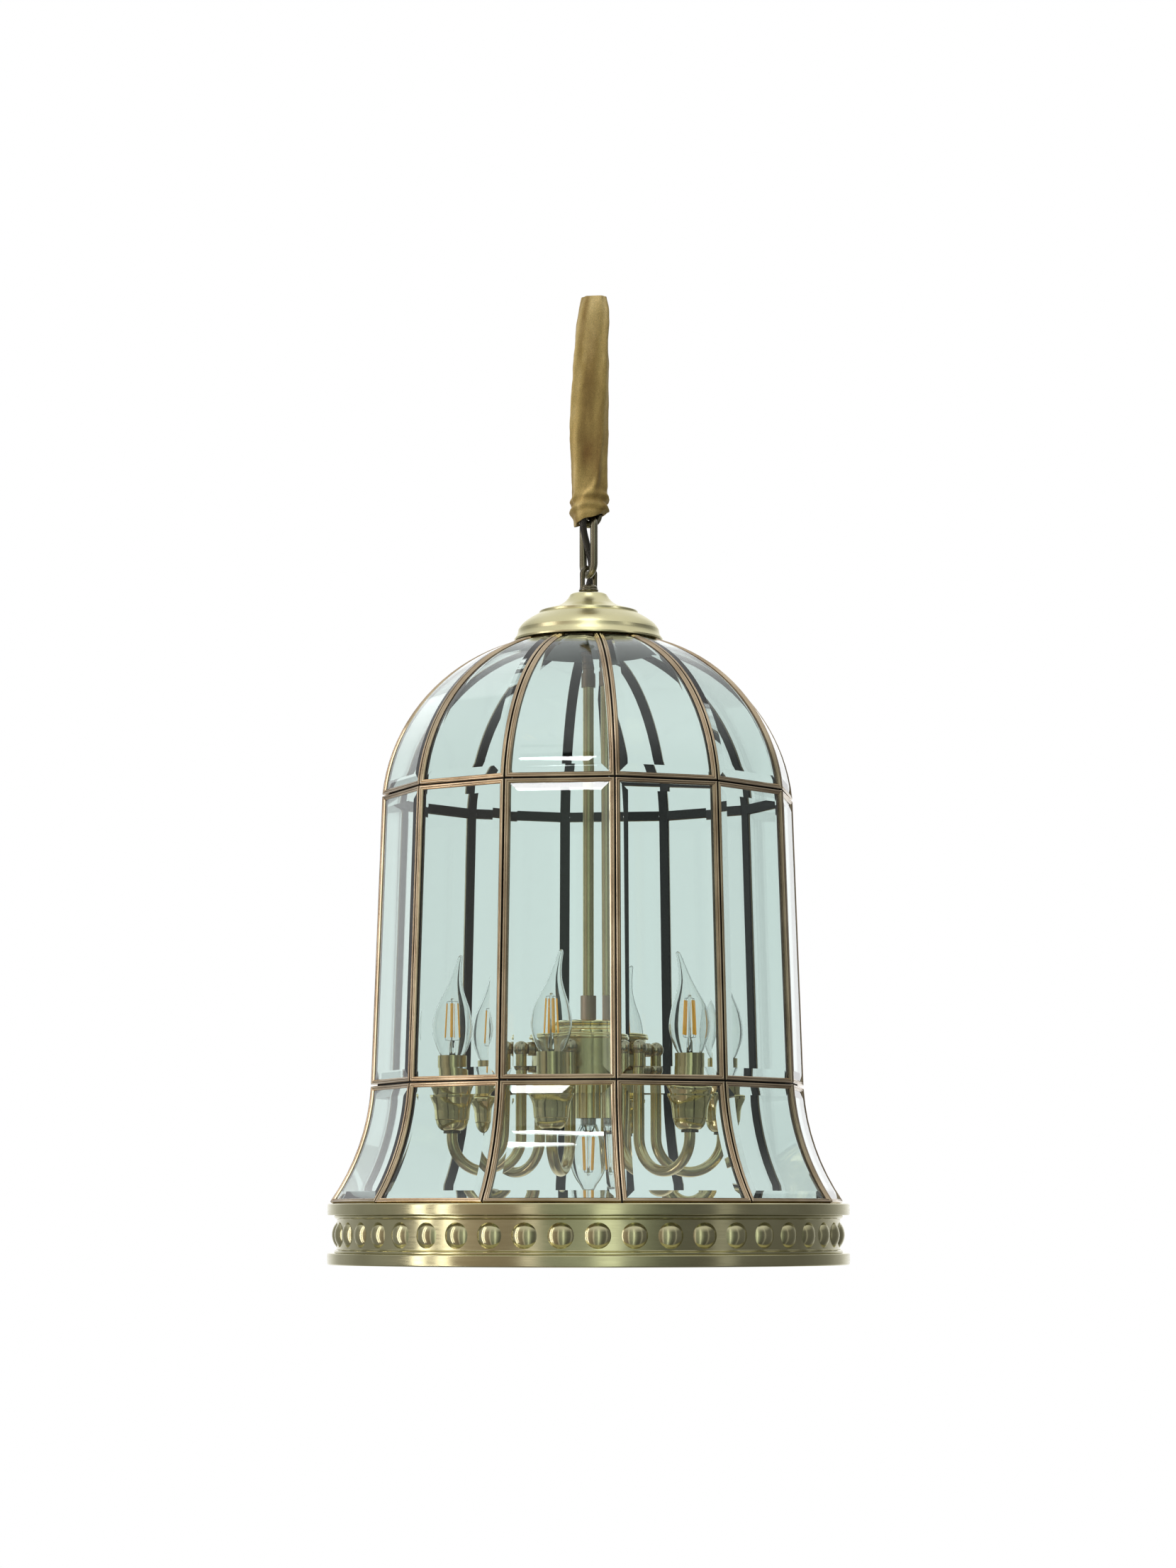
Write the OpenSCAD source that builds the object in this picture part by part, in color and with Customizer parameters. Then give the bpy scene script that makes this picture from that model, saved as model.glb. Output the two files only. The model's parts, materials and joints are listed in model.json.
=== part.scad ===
// Bell-shaped lantern of bevelled glass, hung from a chain inside a velvet sleeve.
// Millimetres, +Z up. The origin is the inside top of the uppermost chain link's eye.
// Heights inside the modules are counted up from the underside of the base ring,
// and hung() lowers them into place. Azimuths run from the front (-Y) towards +X.

/* [Shade] */
// Width over the corners where the dome meets the straight panels
shoulder_w = 361; // [355:1:365]
// Width over the corners where the straight panels meet the flare
waist_w = 378; // [374:1:382]
// Height of the straight glass panels
straight_h = 251; // [240:1:260]
// Height of the flared glass panels
flare_h = 100; // [96:1:104]
// Radius of the dome panels' curve
dome_rad = 157.5; // [155:0.5:160]
// Radius of the flared panels' curve
flare_rad = 195; // [190:1:205]
// Thickness of the bevelled glass
glass_t = 4; // [3:0.5:4]
// Face width of the brass came round each panel
came_w = 3.8; // [3.2:0.2:4.6]
// Depth of the came from front to back
came_t = 5; // [5:0.5:6]
// Gap between the cames of neighbouring panels
came_gap = 1.4; // [1:0.2:2]
// Turn of the shade's first corner from the front
shade_turn = 7; // [0:1:29]

/* [Base ring] */
// Outer diameter of the base ring
ring_d = 450; // [448:1:454]
// Height of the base ring
ring_h = 52; // [50:1:54]
// Number of domed bosses round the band
boss_count = 45; // [30:1:48]
// Diameter of a boss
boss_d = 20; // [14:1:22]
// Height that a boss stands out of the band
boss_out = 4.5; // [3:0.5:5]

/* [Candle arms] */
// Number of candle arms
arm_count = 6; // [3:1:6]
// Radius of the circle of candles
candle_circle = 120; // [110:1:125]
// Radius of the circle of knuckle balls
ball_circle = 60; // [60:1:62]
// Outer diameter of the arm tubes
arm_d = 9.5; // [8:0.5:10]
// Diameter of a knuckle ball
ball_d = 13.5; // [12:0.5:14]
// Diameter of a candle tube
candle_d = 25; // [24:0.5:26]
// Turn of the first arm from the front
arm_turn = -15; // [-29:1:30]

/* [Stem] */
// Outer diameter of the stem tube
stem_d = 9.5; // [9:0.5:11]

/* [Bulbs] */
// Widest diameter of a bulb
bulb_d = 35; // [33:1:37]

/* [Chain] */
// Outer length of a chain link
link_len = 58.5; // [54:0.5:60]
// Outer width of a chain link
link_w = 26.6; // [26:0.2:28]
// Wire diameter of a chain link
link_wire = 6.6; // [6:0.2:6.8]
// Turn of the lowest link's plane from the front
chain_turn = 28; // [20:1:35]
// Outer diameter of the flex
flex_d = 6; // [5:0.5:6]

/* [Hidden] */
$fn = 48;

// Shade: twelve flat-sided facets
facets = 12;
half_facet = 180 / facets;
facet_cos = cos(half_facet);
shoulder_r = shoulder_w / 2 * facet_cos;
waist_r = waist_w / 2 * facet_cos;
flare_z = ring_h + 1.2;
waist_z = flare_z + flare_h;
shoulder_z = waist_z + straight_h;
dome_drop = 14;
dome_cr = shoulder_r - sqrt(dome_rad * dome_rad - dome_drop * dome_drop);
dome_cz = shoulder_z - dome_drop;
dome_top_r = 57;
dome_a0 = asin(dome_drop / dome_rad);
dome_a1 = acos((dome_top_r - dome_cr) / dome_rad);
flare_rise = 10;
flare_cr = waist_r + sqrt(flare_rad * flare_rad - flare_rise * flare_rise);
flare_cz = waist_z + flare_rise;
flare_a0 = asin(flare_rise / flare_rad);
flare_a1 = asin((flare_rise + flare_h) / flare_rad);
straight_tilt = atan((waist_r - shoulder_r) / straight_h);
dome_len = dome_rad * (dome_a1 - dome_a0) * PI / 180;
flare_len = flare_rad * (flare_a1 - flare_a0) * PI / 180;
straight_len = straight_h / cos(straight_tilt);
glass_set = 0.5;
rib_w = 8;
rib_t = 1.5;
rib_back = 1.2;
hoop_set = 0.5;
shade_reach = 260;
shade_top = 600;

// Base ring
band_r = ring_d / 2 - 8.3;
rim_h = 9.8;
sheet_t = 1.4;
boss_z = 25.1;

// Top of the lantern
cap_z = 542;
cap_h = 42;
cap_outline = [
  [65, 0], [65, 1.4], [61.6, 8], [61.6, 9.6], [60, 12], [57, 15.4], [52, 19.4], [46, 22.8],
  [43.2, 24], [43.2, 26], [36, 28], [28, 30], [23.6, 32], [20, 35], [17.4, 38.4], [15, cap_h]
];
plate_z = 533.8;
plate_t = 2;
plate_r = 58;
collar_top_z = plate_z - 19.4;
loop_z = cap_z + cap_h + 1.6;
collar_h = 6;
arch_w = 16.4;
arch_bar = 4.2;
arch_t = 5;
link_gap = 0.4;
arch_gap = 1;
link_1_z = 597.5;
link_pitch = link_len - 2 * link_wire - link_gap;
upper_count = 4;
top_link_z = link_1_z + upper_count * link_pitch;
hang_height = top_link_z + link_len - link_wire;
grommet_at = [-0.6, 11.9];

// Stem and hub
wire_way_r = 3.2;
stem_top_z = 503;
hub_top_z = 211;
lid_z = 193;
lid_t = 5;
drum_r = 49;
drum_z = 160;
floor_z = 157;
ball_z = 185;
bend_z = 108;
bend_r = (candle_circle - ball_circle) / 2;
cup_z = 113.5;
cup_h = 31;
cup_outline = [
  [wire_way_r, 0], [8.4, 0], [11, 2], [13, 5.4], [14, 9.4], [14.6, 10], [15, 16], [15.8, 21],
  [16.8, 25], [18.6, 28], [19, 30.2], [18.4, cup_h], [14.6, cup_h], [14.4, 30.6], [14.2, 18],
  [12.4, 8], [9.4, 3], [wire_way_r, 2]
];
tube_top_z = 178.5;
down_top_z = 157;
down_end_z = 124.9;

// Bulbs: outlines as radius and height above the contact at the cap's end
bulb_seat_z = 137;
down_seat_z = 143.5;
glass_wall = 0.9;
bulb_outline = [
  [7.4, 24], [7.6, 32], [8.6, 38], [10.2, 41.5], [12.2, 45], [14, 49.5], [16.3, 56],
  [17.5, 62], [17.3, 67], [16.4, 74], [14.6, 81.5], [11.6, 88.5], [8.6, 95], [5.8, 103],
  [3.9, 111], [2.8, 119], [2.4, 124], [1.6, 126.6], [0, 127.5]
];
down_outline = [
  [7.4, 24], [8.6, 28], [11.6, 33], [14.8, 38], [16.8, 43], [17.5, 49], [16.6, 57],
  [14.2, 65], [10.8, 72], [6.8, 77.6], [3.4, 80.6], [0, 81.6]
];

// Route of the flex, bottom part: from the cap's grommet up into the lowest link's eye
flex_low = [
  [-0.6, 11.9, 580], [-0.6, 11.9, 586], [-0.2, 11.6, 591], [1, 10.8, 596], [2.4, 9.8, 601],
  [2.9, 8.9, 606], [2.6, 7.6, 611], [1.5, 5.7, 617], [-0.2, 3.6, 623]
];
// Route of the flex, top part: past the second link and up inside the sleeve
flex_up = [
  [-0.3, 3.4, 623.5], [-1.6, 0.8, 629], [-3.2, -2.8, 635], [-4.5, -6.8, 641],
  [-4.8, -9.2, 645], [-4.8, -10.4, 650], [-4.2, -10.4, 658], [-3.2, -9.9, 670],
  [-2.9, -9.6, 690], [-2.9, -9.6, 710], [-2.9, -9.6, 730], [-2.9, -9.6, 744],
  [-1, -9.9, 752], [4.6, -8.8, 761], [8.2, -5.7, 769], [9.5, -2.9, 778],
  [9.5, -2.9, 800], [9.5, -2.9, 820], [9.5, -2.9, 838]
];

// Sleeve: height, left edge, right edge and half depth of its rings, from the bottom up
sleeve_rings = [
  [649, -12.6, 13, 16], [655, -15, 16, 17], [663, -16, 17, 17], [675, -15, 16.6, 16.4],
  [690, -15.2, 15.6, 16], [708, -16, 16, 16], [726, -16.4, 16.4, 16],
  [745, -15.6, 17, 16], [765, -14.6, 17.4, 16], [785, -13.6, 17.8, 16.4],
  [805, -11.8, 18.2, 16.8], [824, -10.4, 18.8, 17], [838, -7.4, 18, 15.6], [848, -4, 16, 12]
];
sleeve_sides = 20;
sleeve_wall = 1;

module hung() { translate([0, 0, -hang_height]) children(); }
module at_azimuth(a) { rotate([0, 0, a - 90]) children(); }
module on_circle(a, r) { at_azimuth(a) translate([r, 0, 0]) children(); }
module each_arm(r) {
  for (i = [0:arm_count - 1]) on_circle(arm_turn + 360 / arm_count * i, r) children();
}
module each_facet() {
  for (i = [0:facets - 1]) at_azimuth(shade_turn + half_facet * (2 * i + 1)) children();
}
module each_corner() {
  for (i = [0:facets - 1]) at_azimuth(shade_turn + half_facet * 2 * i) children();
}
module disc(r, z0, z1) { translate([0, 0, z0]) cylinder(r = r, h = z1 - z0); }
module tube(r, bore, z0, z1) {
  difference() {
    disc(r, z0, z1);
    disc(bore, z0 - 1, z1 + 1);
  }
}

// Points on the three panel curves: s runs along the panel from its lower edge,
// d is the depth behind the front face
function dome_pt(s, d) = let (a = dome_a0 + s / dome_rad * 180 / PI)
  [dome_cr + (dome_rad - d) * cos(a), dome_cz + (dome_rad - d) * sin(a)];
function straight_pt(s, d) =
  [waist_r - s * sin(straight_tilt) - d * cos(straight_tilt),
   waist_z + s * cos(straight_tilt) - d * sin(straight_tilt)];
function flare_pt(s, d) = let (a = flare_a1 - s / flare_rad * 180 / PI)
  [flare_cr - (flare_rad + d) * cos(a), flare_cz - (flare_rad + d) * sin(a)];
function panel_pt(kind, s, d) =
  kind == "dome" ? dome_pt(s, d) : kind == "straight" ? straight_pt(s, d) : flare_pt(s, d);
function panel_len(kind) =
  kind == "dome" ? dome_len : kind == "straight" ? straight_len : flare_len;
function panel_steps(kind) = kind == "dome" ? 14 : kind == "straight" ? 1 : 8;
// Outline of one panel's section between two depths, pulled in at both ends
function panel_line(kind, inset, d) = let (n = panel_steps(kind))
  [for (i = [0:n]) panel_pt(kind, inset + (panel_len(kind) - 2 * inset) * i / n, d)];
function reversed(p) = [for (i = [len(p) - 1:-1:0]) p[i]];
function panel_section(kind, inset, d0, d1) =
  concat(panel_line(kind, inset, d0), reversed(panel_line(kind, inset, d1)));

// A wedge of the shade one facet wide, pulled in from the corners by inset
module facet_wedge(inset) {
  r0 = inset / sin(half_facet);
  w = (shade_reach - r0) * tan(half_facet);
  translate([0, 0, ring_h]) linear_extrude(height = shade_top - ring_h)
    polygon([[r0, 0], [shade_reach, -w], [shade_reach, w]]);
}
module facet_slab(kind, inset, d0, d1) {
  intersection() {
    rotate([90, 0, 0])
      linear_extrude(height = 160, center = true)
        polygon(panel_section(kind, inset, d0, d1));
    facet_wedge(inset);
  }
}
module came_frames(kind) {
  hung() each_facet() difference() {
    facet_slab(kind, came_gap / 2, 0, came_t);
    facet_slab(kind, came_gap / 2 + came_w, -1, came_t + 1);
  }
}
module glass_panels(kind) {
  hung() each_facet() facet_slab(kind, came_gap / 2 + came_w, glass_set, glass_set + glass_t);
}

// Section of a rib, which runs behind a corner from the top plate to the base ring
function corner_line(kind, d, first) = let (n = panel_steps(kind))
  [for (i = [first:n]) let (p = panel_pt(kind, panel_len(kind) * i / n, d))
    [p[0] / facet_cos - rib_back, p[1]]];
function rib_side(d) =
  concat(corner_line("flare", d, 0), corner_line("straight", d, 1), corner_line("dome", d, 1));

module ribs() {
  color([0.09, 0.1, 0.1]) hung() each_corner() intersection() {
    rotate([90, 0, 0])
      linear_extrude(height = rib_w, center = true)
        polygon(concat(rib_side(came_t), reversed(rib_side(came_t + rib_t))));
    disc(shade_reach, ring_h, shade_top);
  }
}
// Straps behind the joint between two rows of panels, one across each facet
module hoop_straps(z, r) {
  strap = 2 * r * tan(half_facet) - rib_w / facet_cos - 1;
  hung() each_facet() translate([r - rib_t, -strap / 2, z - rib_w / 2])
    cube([rib_t, strap, rib_w]);
}
module upper_hoop() {
  color([0.09, 0.1, 0.1]) hoop_straps(shoulder_z, dome_pt(rib_w / 2, came_t)[0] - hoop_set);
}
module lower_hoop() {
  color([0.09, 0.1, 0.1]) hoop_straps(waist_z, straight_pt(rib_w / 2, came_t)[0] - hoop_set);
}
module dome_cames() { color([0.62, 0.52, 0.3]) came_frames("dome"); }
module straight_cames() { color([0.55, 0.43, 0.28]) came_frames("straight"); }
module flare_cames() { color([0.62, 0.52, 0.3]) came_frames("flare"); }
module dome_glass() { color([0.75, 0.86, 0.82, 0.35]) glass_panels("dome"); }
module straight_glass() { color([0.75, 0.86, 0.82, 0.35]) glass_panels("straight"); }
module flare_glass() { color([0.75, 0.86, 0.82, 0.35]) glass_panels("flare"); }

// Base ring: two rims with a set-back band of pressed bosses between them
module base_top_rim() {
  r = ring_d / 2;
  z0 = ring_h - rim_h;
  color([0.6, 0.52, 0.33]) hung() rotate_extrude($fn = 96) polygon([
    [r, z0], [r, ring_h], [r - 18, ring_h], [r - 18, ring_h - 2], [r - 2, ring_h - 2],
    [r - 2, z0 + 1.6], [band_r, z0 + 1.6], [band_r, z0]
  ]);
}
module base_bottom_rim() {
  r = ring_d / 2;
  color([0.6, 0.52, 0.33]) hung() rotate_extrude($fn = 96) polygon([
    [r, 0], [r, rim_h], [band_r, rim_h], [band_r, rim_h - 1.6], [r - 2, rim_h - 1.6],
    [r - 2, 1.6], [r - 12, 1.6], [r - 12, 0]
  ]);
}
module boss_band() {
  z0 = rim_h;
  z1 = ring_h - rim_h;
  bead = 2.3;
  ball_r = (boss_d * boss_d / 4 + boss_out * boss_out) / (2 * boss_out);
  color([0.6, 0.5, 0.33]) hung() difference() {
    union() {
      tube(band_r, band_r - sheet_t, z0, z1, $fn = 96);
      tube(band_r + bead, band_r - sheet_t, z0, z0 + 3.6, $fn = 96);
      tube(band_r + bead, band_r - sheet_t, z1 - 3.6, z1, $fn = 96);
      for (i = [0:boss_count - 1])
        on_circle(360 / boss_count * i + 2, band_r + boss_out - ball_r)
          translate([0, 0, boss_z]) sphere(r = ball_r, $fn = 32);
    }
    disc(band_r - sheet_t, -1, ring_h + 1, $fn = 96);
  }
}

// Cap: a spun cover with a concave neck, a ledge and a domed skirt
module canopy_cap() {
  color([0.66, 0.58, 0.36]) hung() translate([0, 0, cap_z]) difference() {
    rotate_extrude($fn = 72) polygon(concat(cap_outline, [[0, cap_h], [0, 0]]));
    rotate_extrude($fn = 72) polygon(concat(
      [[65 - sheet_t, -1]],
      [for (p = cap_outline) [p[0] - sheet_t, p[1] - sheet_t]],
      [[0, cap_h - sheet_t], [0, -1]]));
    disc(5.2, 0, cap_h + 1);
    translate([grommet_at[0], grommet_at[1], 0]) disc(flex_d / 2 + 0.6, 0, cap_h + 1);
  }
}
module flex_grommet() {
  color([0.05, 0.05, 0.05]) hung() translate([grommet_at[0], grommet_at[1], 0])
    tube(flex_d / 2 + 0.6, flex_d / 2, cap_z + cap_h - 3, cap_z + cap_h + 0.8);
}
module loop_washer() {
  color([0.05, 0.05, 0.05]) hung() tube(7.6, 5.1, cap_z + cap_h, loop_z);
}
module top_nipple() {
  color([0.7, 0.6, 0.35]) hung() tube(5, 3.5, plate_z - 12, loop_z + 3);
}
module cap_nut() {
  color([0.7, 0.6, 0.35]) hung() difference() {
    translate([0, 0, plate_z + plate_t]) cylinder(r = 9, h = 5, $fn = 6);
    disc(5, plate_z, plate_z + 10);
  }
}
module top_plate() {
  color([0.35, 0.37, 0.36]) hung() tube(plate_r, 5.1, plate_z, plate_z + plate_t, $fn = 72);
}
// Cast loop: a round collar with an upright arch that the lowest link passes through
module hanging_loop() {
  arch_top = link_1_z + link_wire + arch_gap + arch_bar;
  arch_r = arch_w / 2;
  arch_mid = arch_top - arch_r;
  eye_r = arch_r - arch_bar;
  color([0.2, 0.16, 0.11]) hung() difference() {
    union() {
      rotate_extrude() polygon([
        [0, loop_z], [8, loop_z], [8.4, loop_z + 1.4], [8, loop_z + 2.8],
        [7, loop_z + 4], [6.4, loop_z + collar_h], [0, loop_z + collar_h]
      ]);
      at_azimuth(chain_turn) rotate([0, 90, 0]) rotate([0, 0, 90])
        linear_extrude(height = arch_t, center = true) difference() {
          union() {
            translate([0, arch_mid]) circle(r = arch_r);
            translate([-arch_r, loop_z + 4]) square([arch_w, arch_mid - loop_z - 4]);
          }
          translate([0, arch_mid]) circle(r = eye_r);
          translate([-eye_r, loop_z + collar_h]) square([2 * eye_r, arch_mid - loop_z - collar_h]);
        }
    }
    disc(5, loop_z - 1, loop_z + 3);
  }
}

// Chain: oval links, each turned a quarter from the next
module chain_ring(z, turn) {
  wire_r = link_wire / 2;
  end_r = link_w / 2 - wire_r;
  run = link_len - link_w;
  translate([0, 0, z + link_len / 2]) at_azimuth(turn) rotate([90, 0, 0]) union() {
    for (side = [-1, 1]) {
      translate([side * end_r, 0, 0]) rotate([90, 0, 0])
        cylinder(r = wire_r, h = run, center = true, $fn = 24);
      rotate([0, 0, side > 0 ? 0 : 180]) translate([0, run / 2, 0])
        rotate_extrude(angle = 180) translate([end_r, 0]) circle(r = wire_r, $fn = 24);
    }
  }
}
module chain_link() {
  color([0.42, 0.36, 0.24]) hung() chain_ring(link_1_z, chain_turn);
}
module upper_links() {
  color([0.42, 0.36, 0.24]) hung() for (i = [1:upper_count])
    chain_ring(link_1_z + i * link_pitch, chain_turn + 90 * (i % 2));
}

// A round tube swept along a list of points
function unit(v) = v / norm(v);
function heading(p, i) = unit(p[min(i + 1, len(p) - 1)] - p[max(i - 1, 0)]);
function ring_at(c, t, r, n) =
  let (side = unit(cross(t, [1, 0, 0])), up = cross(side, t))
  [for (k = [0:n - 1]) c + r * (cos(360 / n * k) * side + sin(360 / n * k) * up)];
module swept_tube(path, r, n) {
  m = len(path);
  points = [for (i = [0:m - 1]) each ring_at(path[i], heading(path, i), r, n)];
  walls = [for (i = [0:m - 2], k = [0:n - 1])
    [i * n + k, i * n + (k + 1) % n, (i + 1) * n + (k + 1) % n, (i + 1) * n + k]];
  polyhedron(points, concat(walls,
    [[for (k = [n - 1:-1:0]) k]], [[for (k = [0:n - 1]) (m - 1) * n + k]]), convexity = 4);
}
module flex_lower() { color([0.08, 0.08, 0.08]) hung() swept_tube(flex_low, flex_d / 2, 10); }
module flex_upper() { color([0.08, 0.08, 0.08]) hung() swept_tube(flex_up, flex_d / 2, 10); }
// Stripped ends of the flex's three cores
module flex_cores() {
  end = flex_up[len(flex_up) - 1];
  color([0.45, 0.3, 0.15]) hung() for (k = [0:2])
    translate([end[0] + 1.5 * cos(120 * k), end[1] + 1.5 * sin(120 * k), end[2] + 0.2])
      cylinder(r = 1.1, h = 8, $fn = 16);
}

// Velvet sleeve: an oval hose, open at both ends
function oval_pt(r, grow, k) =
  let (a = 360 / sleeve_sides * k, e = 0.62,
       rx = (r[2] - r[1]) / 2 - grow, ry = r[3] - grow)
  [(r[1] + r[2]) / 2 + rx * sign(cos(a)) * pow(abs(cos(a)), e),
   ry * sign(sin(a)) * pow(abs(sin(a)), e), r[0]];
module velvet_sleeve() {
  n = sleeve_sides;
  m = len(sleeve_rings);
  outer = [for (r = sleeve_rings, k = [0:n - 1]) oval_pt(r, 0, k)];
  inner = [for (r = sleeve_rings, k = [0:n - 1]) oval_pt(r, sleeve_wall, k)];
  skin = m * n;
  faces = concat(
    [for (i = [0:m - 2], k = [0:n - 1])
      [i * n + k, (i + 1) * n + k, (i + 1) * n + (k + 1) % n, i * n + (k + 1) % n]],
    [for (i = [0:m - 2], k = [0:n - 1])
      [skin + i * n + k, skin + i * n + (k + 1) % n,
       skin + (i + 1) * n + (k + 1) % n, skin + (i + 1) * n + k]],
    [for (k = [0:n - 1]) [k, (k + 1) % n, skin + (k + 1) % n, skin + k]],
    [for (k = [0:n - 1]) let (b = (m - 1) * n)
      [b + k, skin + b + k, skin + b + (k + 1) % n, b + (k + 1) % n]]);
  color([0.62, 0.47, 0.26]) hung() polyhedron(concat(outer, inner), faces, convexity = 6);
}

// Stem: coupler, collar, tube and ferrule between the top plate and the hub
module stem_coupler() {
  color([0.3, 0.2, 0.14]) hung() difference() {
    union() {
      disc(6.6, plate_z - 3.4, plate_z);
      disc(5.7, plate_z - 15.6, plate_z - 3.4);
      disc(5, collar_top_z, plate_z - 15.6);
    }
    disc(5, plate_z - 12, plate_z + 1);
    disc(wire_way_r, collar_top_z - 1, plate_z);
  }
}
module stem_collar() {
  color([0.3, 0.2, 0.14]) hung() difference() {
    disc(6.2, stem_top_z - 1, collar_top_z);
    disc(stem_d / 2, stem_top_z - 2, stem_top_z + 5);
    disc(wire_way_r, stem_top_z, plate_z);
  }
}
module stem_tube() {
  color([0.5, 0.45, 0.3]) hung() tube(stem_d / 2, stem_d / 2 - 1, hub_top_z + 4, stem_top_z + 5);
}
module stem_ferrule() {
  color([0.5, 0.4, 0.3]) hung() difference() {
    disc(6.8, hub_top_z, hub_top_z + 20.5);
    disc(stem_d / 2, hub_top_z + 4, hub_top_z + 21);
    disc(wire_way_r, hub_top_z - 1, hub_top_z + 5);
  }
}

// Hub: a drum with a flanged lid and a stepped crown, closed below by a floor
module hub_crown() {
  color([0.62, 0.56, 0.34]) hung() rotate_extrude($fn = 64) polygon([
    [wire_way_r, lid_z + lid_t], [33, lid_z + lid_t], [33, lid_z + 8.4], [30.4, lid_z + 9.4],
    [29.4, lid_z + 12], [31, lid_z + 13.4], [31, lid_z + 15.4], [27, lid_z + 17],
    [7, hub_top_z], [wire_way_r, hub_top_z]
  ]);
}
module hub_lid() {
  color([0.6, 0.53, 0.33]) hung() tube(51.5, wire_way_r, lid_z, lid_z + lid_t, $fn = 64);
}
module hub_drum() {
  color([0.5, 0.45, 0.28]) hung() difference() {
    union() {
      tube(drum_r, drum_r - sheet_t, drum_z, lid_z, $fn = 64);
      tube(drum_r + 1, drum_r - sheet_t, drum_z, drum_z + 4, $fn = 64);
    }
    each_arm(drum_r) translate([-5, 0, ball_z]) rotate([0, 90, 0])
      cylinder(r = wire_way_r, h = 10);
  }
}
module hub_floor() {
  color([0.5, 0.45, 0.28]) hung() tube(drum_r, wire_way_r, floor_z, drum_z, $fn = 64);
}

// Arms: ball, lock rings and a tube that drops, turns under and rises to its candle
module knuckle_rings() {
  gap = ball_circle - drum_r - ball_d / 2 + 1.2;
  color([0.35, 0.32, 0.25]) hung() each_arm(0) translate([drum_r, 0, ball_z])
    rotate([0, 90, 0]) difference() {
      union() {
        cylinder(r = 6, h = gap * 0.45);
        translate([0, 0, gap * 0.45]) cylinder(r = 4.6, h = gap * 0.1);
        translate([0, 0, gap * 0.55]) cylinder(r = 6, h = gap * 0.45);
      }
      translate([0, 0, ball_circle - drum_r]) sphere(r = ball_d / 2);
      translate([0, 0, -1]) cylinder(r = wire_way_r, h = gap + 2);
    }
}
module knuckle_balls() {
  color([0.35, 0.32, 0.25]) hung() each_arm(ball_circle) translate([0, 0, ball_z])
    difference() {
      sphere(r = ball_d / 2);
      translate([0, 0, -ball_d]) cylinder(r = arm_d / 2 - 1, h = ball_d);
      rotate([0, -90, 0]) cylinder(r = wire_way_r, h = ball_d);
    }
}
module arm_tubes() {
  r = arm_d / 2;
  color([0.5, 0.46, 0.28]) hung() each_arm(0) difference() {
    union() {
      translate([ball_circle, 0, bend_z]) cylinder(r = r, h = ball_z - bend_z);
      translate([candle_circle, 0, bend_z]) cylinder(r = r, h = cup_z - bend_z);
      translate([ball_circle + bend_r, 0, bend_z]) rotate([90, 180, 0])
        rotate_extrude(angle = 180) translate([bend_r, 0]) circle(r = r);
    }
    translate([ball_circle, 0, ball_z]) sphere(r = ball_d / 2);
  }
}
module arm_nuts() {
  color([0.2, 0.17, 0.13]) hung() each_arm(candle_circle)
    tube(7.4, arm_d / 2, cup_z - 2.4, cup_z);
}
module candle_cups() {
  color([0.62, 0.54, 0.32]) hung() each_arm(candle_circle)
    translate([0, 0, cup_z]) rotate_extrude() polygon(cup_outline);
}
module drip_rings() {
  z = cup_z + cup_h;
  color([0.62, 0.54, 0.32]) hung() each_arm(candle_circle) rotate_extrude() polygon([
    [candle_d / 2 + 0.1, z], [15, z], [15.4, z + 1.6], [16.6, z + 3.8], [18.4, z + 5.8],
    [18.6, z + 7], [18, z + 7.4], [15.6, z + 5.2], [candle_d / 2 + 0.1, z + 4.6]
  ]);
}
module candle_tubes() {
  color([0.52, 0.48, 0.3]) hung() each_arm(candle_circle)
    tube(candle_d / 2, candle_d / 2 - 0.8, cup_z + 24, tube_top_z);
}
module lampholder() {
  difference() {
    union() {
      disc(10.6, -16, 22);
      disc(6, -21, -16);
    }
    disc(7.4, -4, 23);
  }
}
module lampholders() {
  color([0.12, 0.12, 0.12]) hung() each_arm(candle_circle)
    translate([0, 0, bulb_seat_z]) lampholder();
}
module down_tube() {
  color([0.62, 0.54, 0.32]) hung() tube(11.8, 11, down_end_z, down_top_z);
}
module down_lampholder() {
  color([0.12, 0.12, 0.12]) hung() translate([0, 0, down_seat_z]) mirror([0, 0, 1])
    difference() {
      disc(10.8, -13.4, 18);
      disc(7.4, -4, 19);
    }
}

// Bulbs, built from the contact at the cap's end towards the tip
module bulb_shell(outline) {
  s = bulb_d / 35;
  last = outline[len(outline) - 1];
  difference() {
    rotate_extrude($fn = 40) polygon(concat([for (p = outline) [p[0] * s, p[1]]],
      [[0, outline[0][1]]]));
    rotate_extrude($fn = 40) polygon(concat([[0, outline[0][1] - 1]],
      [[outline[0][0] * s - glass_wall, outline[0][1] - 1]],
      [for (p = outline) if (p[0] > 2.5) [p[0] * s - glass_wall, p[1]]],
      [[0, last[1] - 6]]));
  }
}
module bulb_cap(stem_h) {
  disc(4.6, 0, 3);
  disc(6.7, 3, 24);
  translate([0, 0, 24]) cylinder(r1 = 5.8, r2 = 2.4, h = 10);
  disc(1.4, 34, stem_h);
  for (k = [0:3]) on_circle(45 + 90 * k, 4.2) disc(0.8, stem_h - 32, stem_h - 2);
  for (k = [0:3]) on_circle(45 + 90 * k, 0) for (h = [stem_h - 32, stem_h - 2])
    translate([0, -0.3, h - 0.3]) cube([4.4, 0.6, 0.6]);
}
module arm_bulb_glass(i) {
  color([0.9, 0.95, 0.95, 0.3]) hung()
    on_circle(arm_turn + 360 / arm_count * i, candle_circle)
      translate([0, 0, bulb_seat_z]) bulb_shell(bulb_outline);
}
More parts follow.
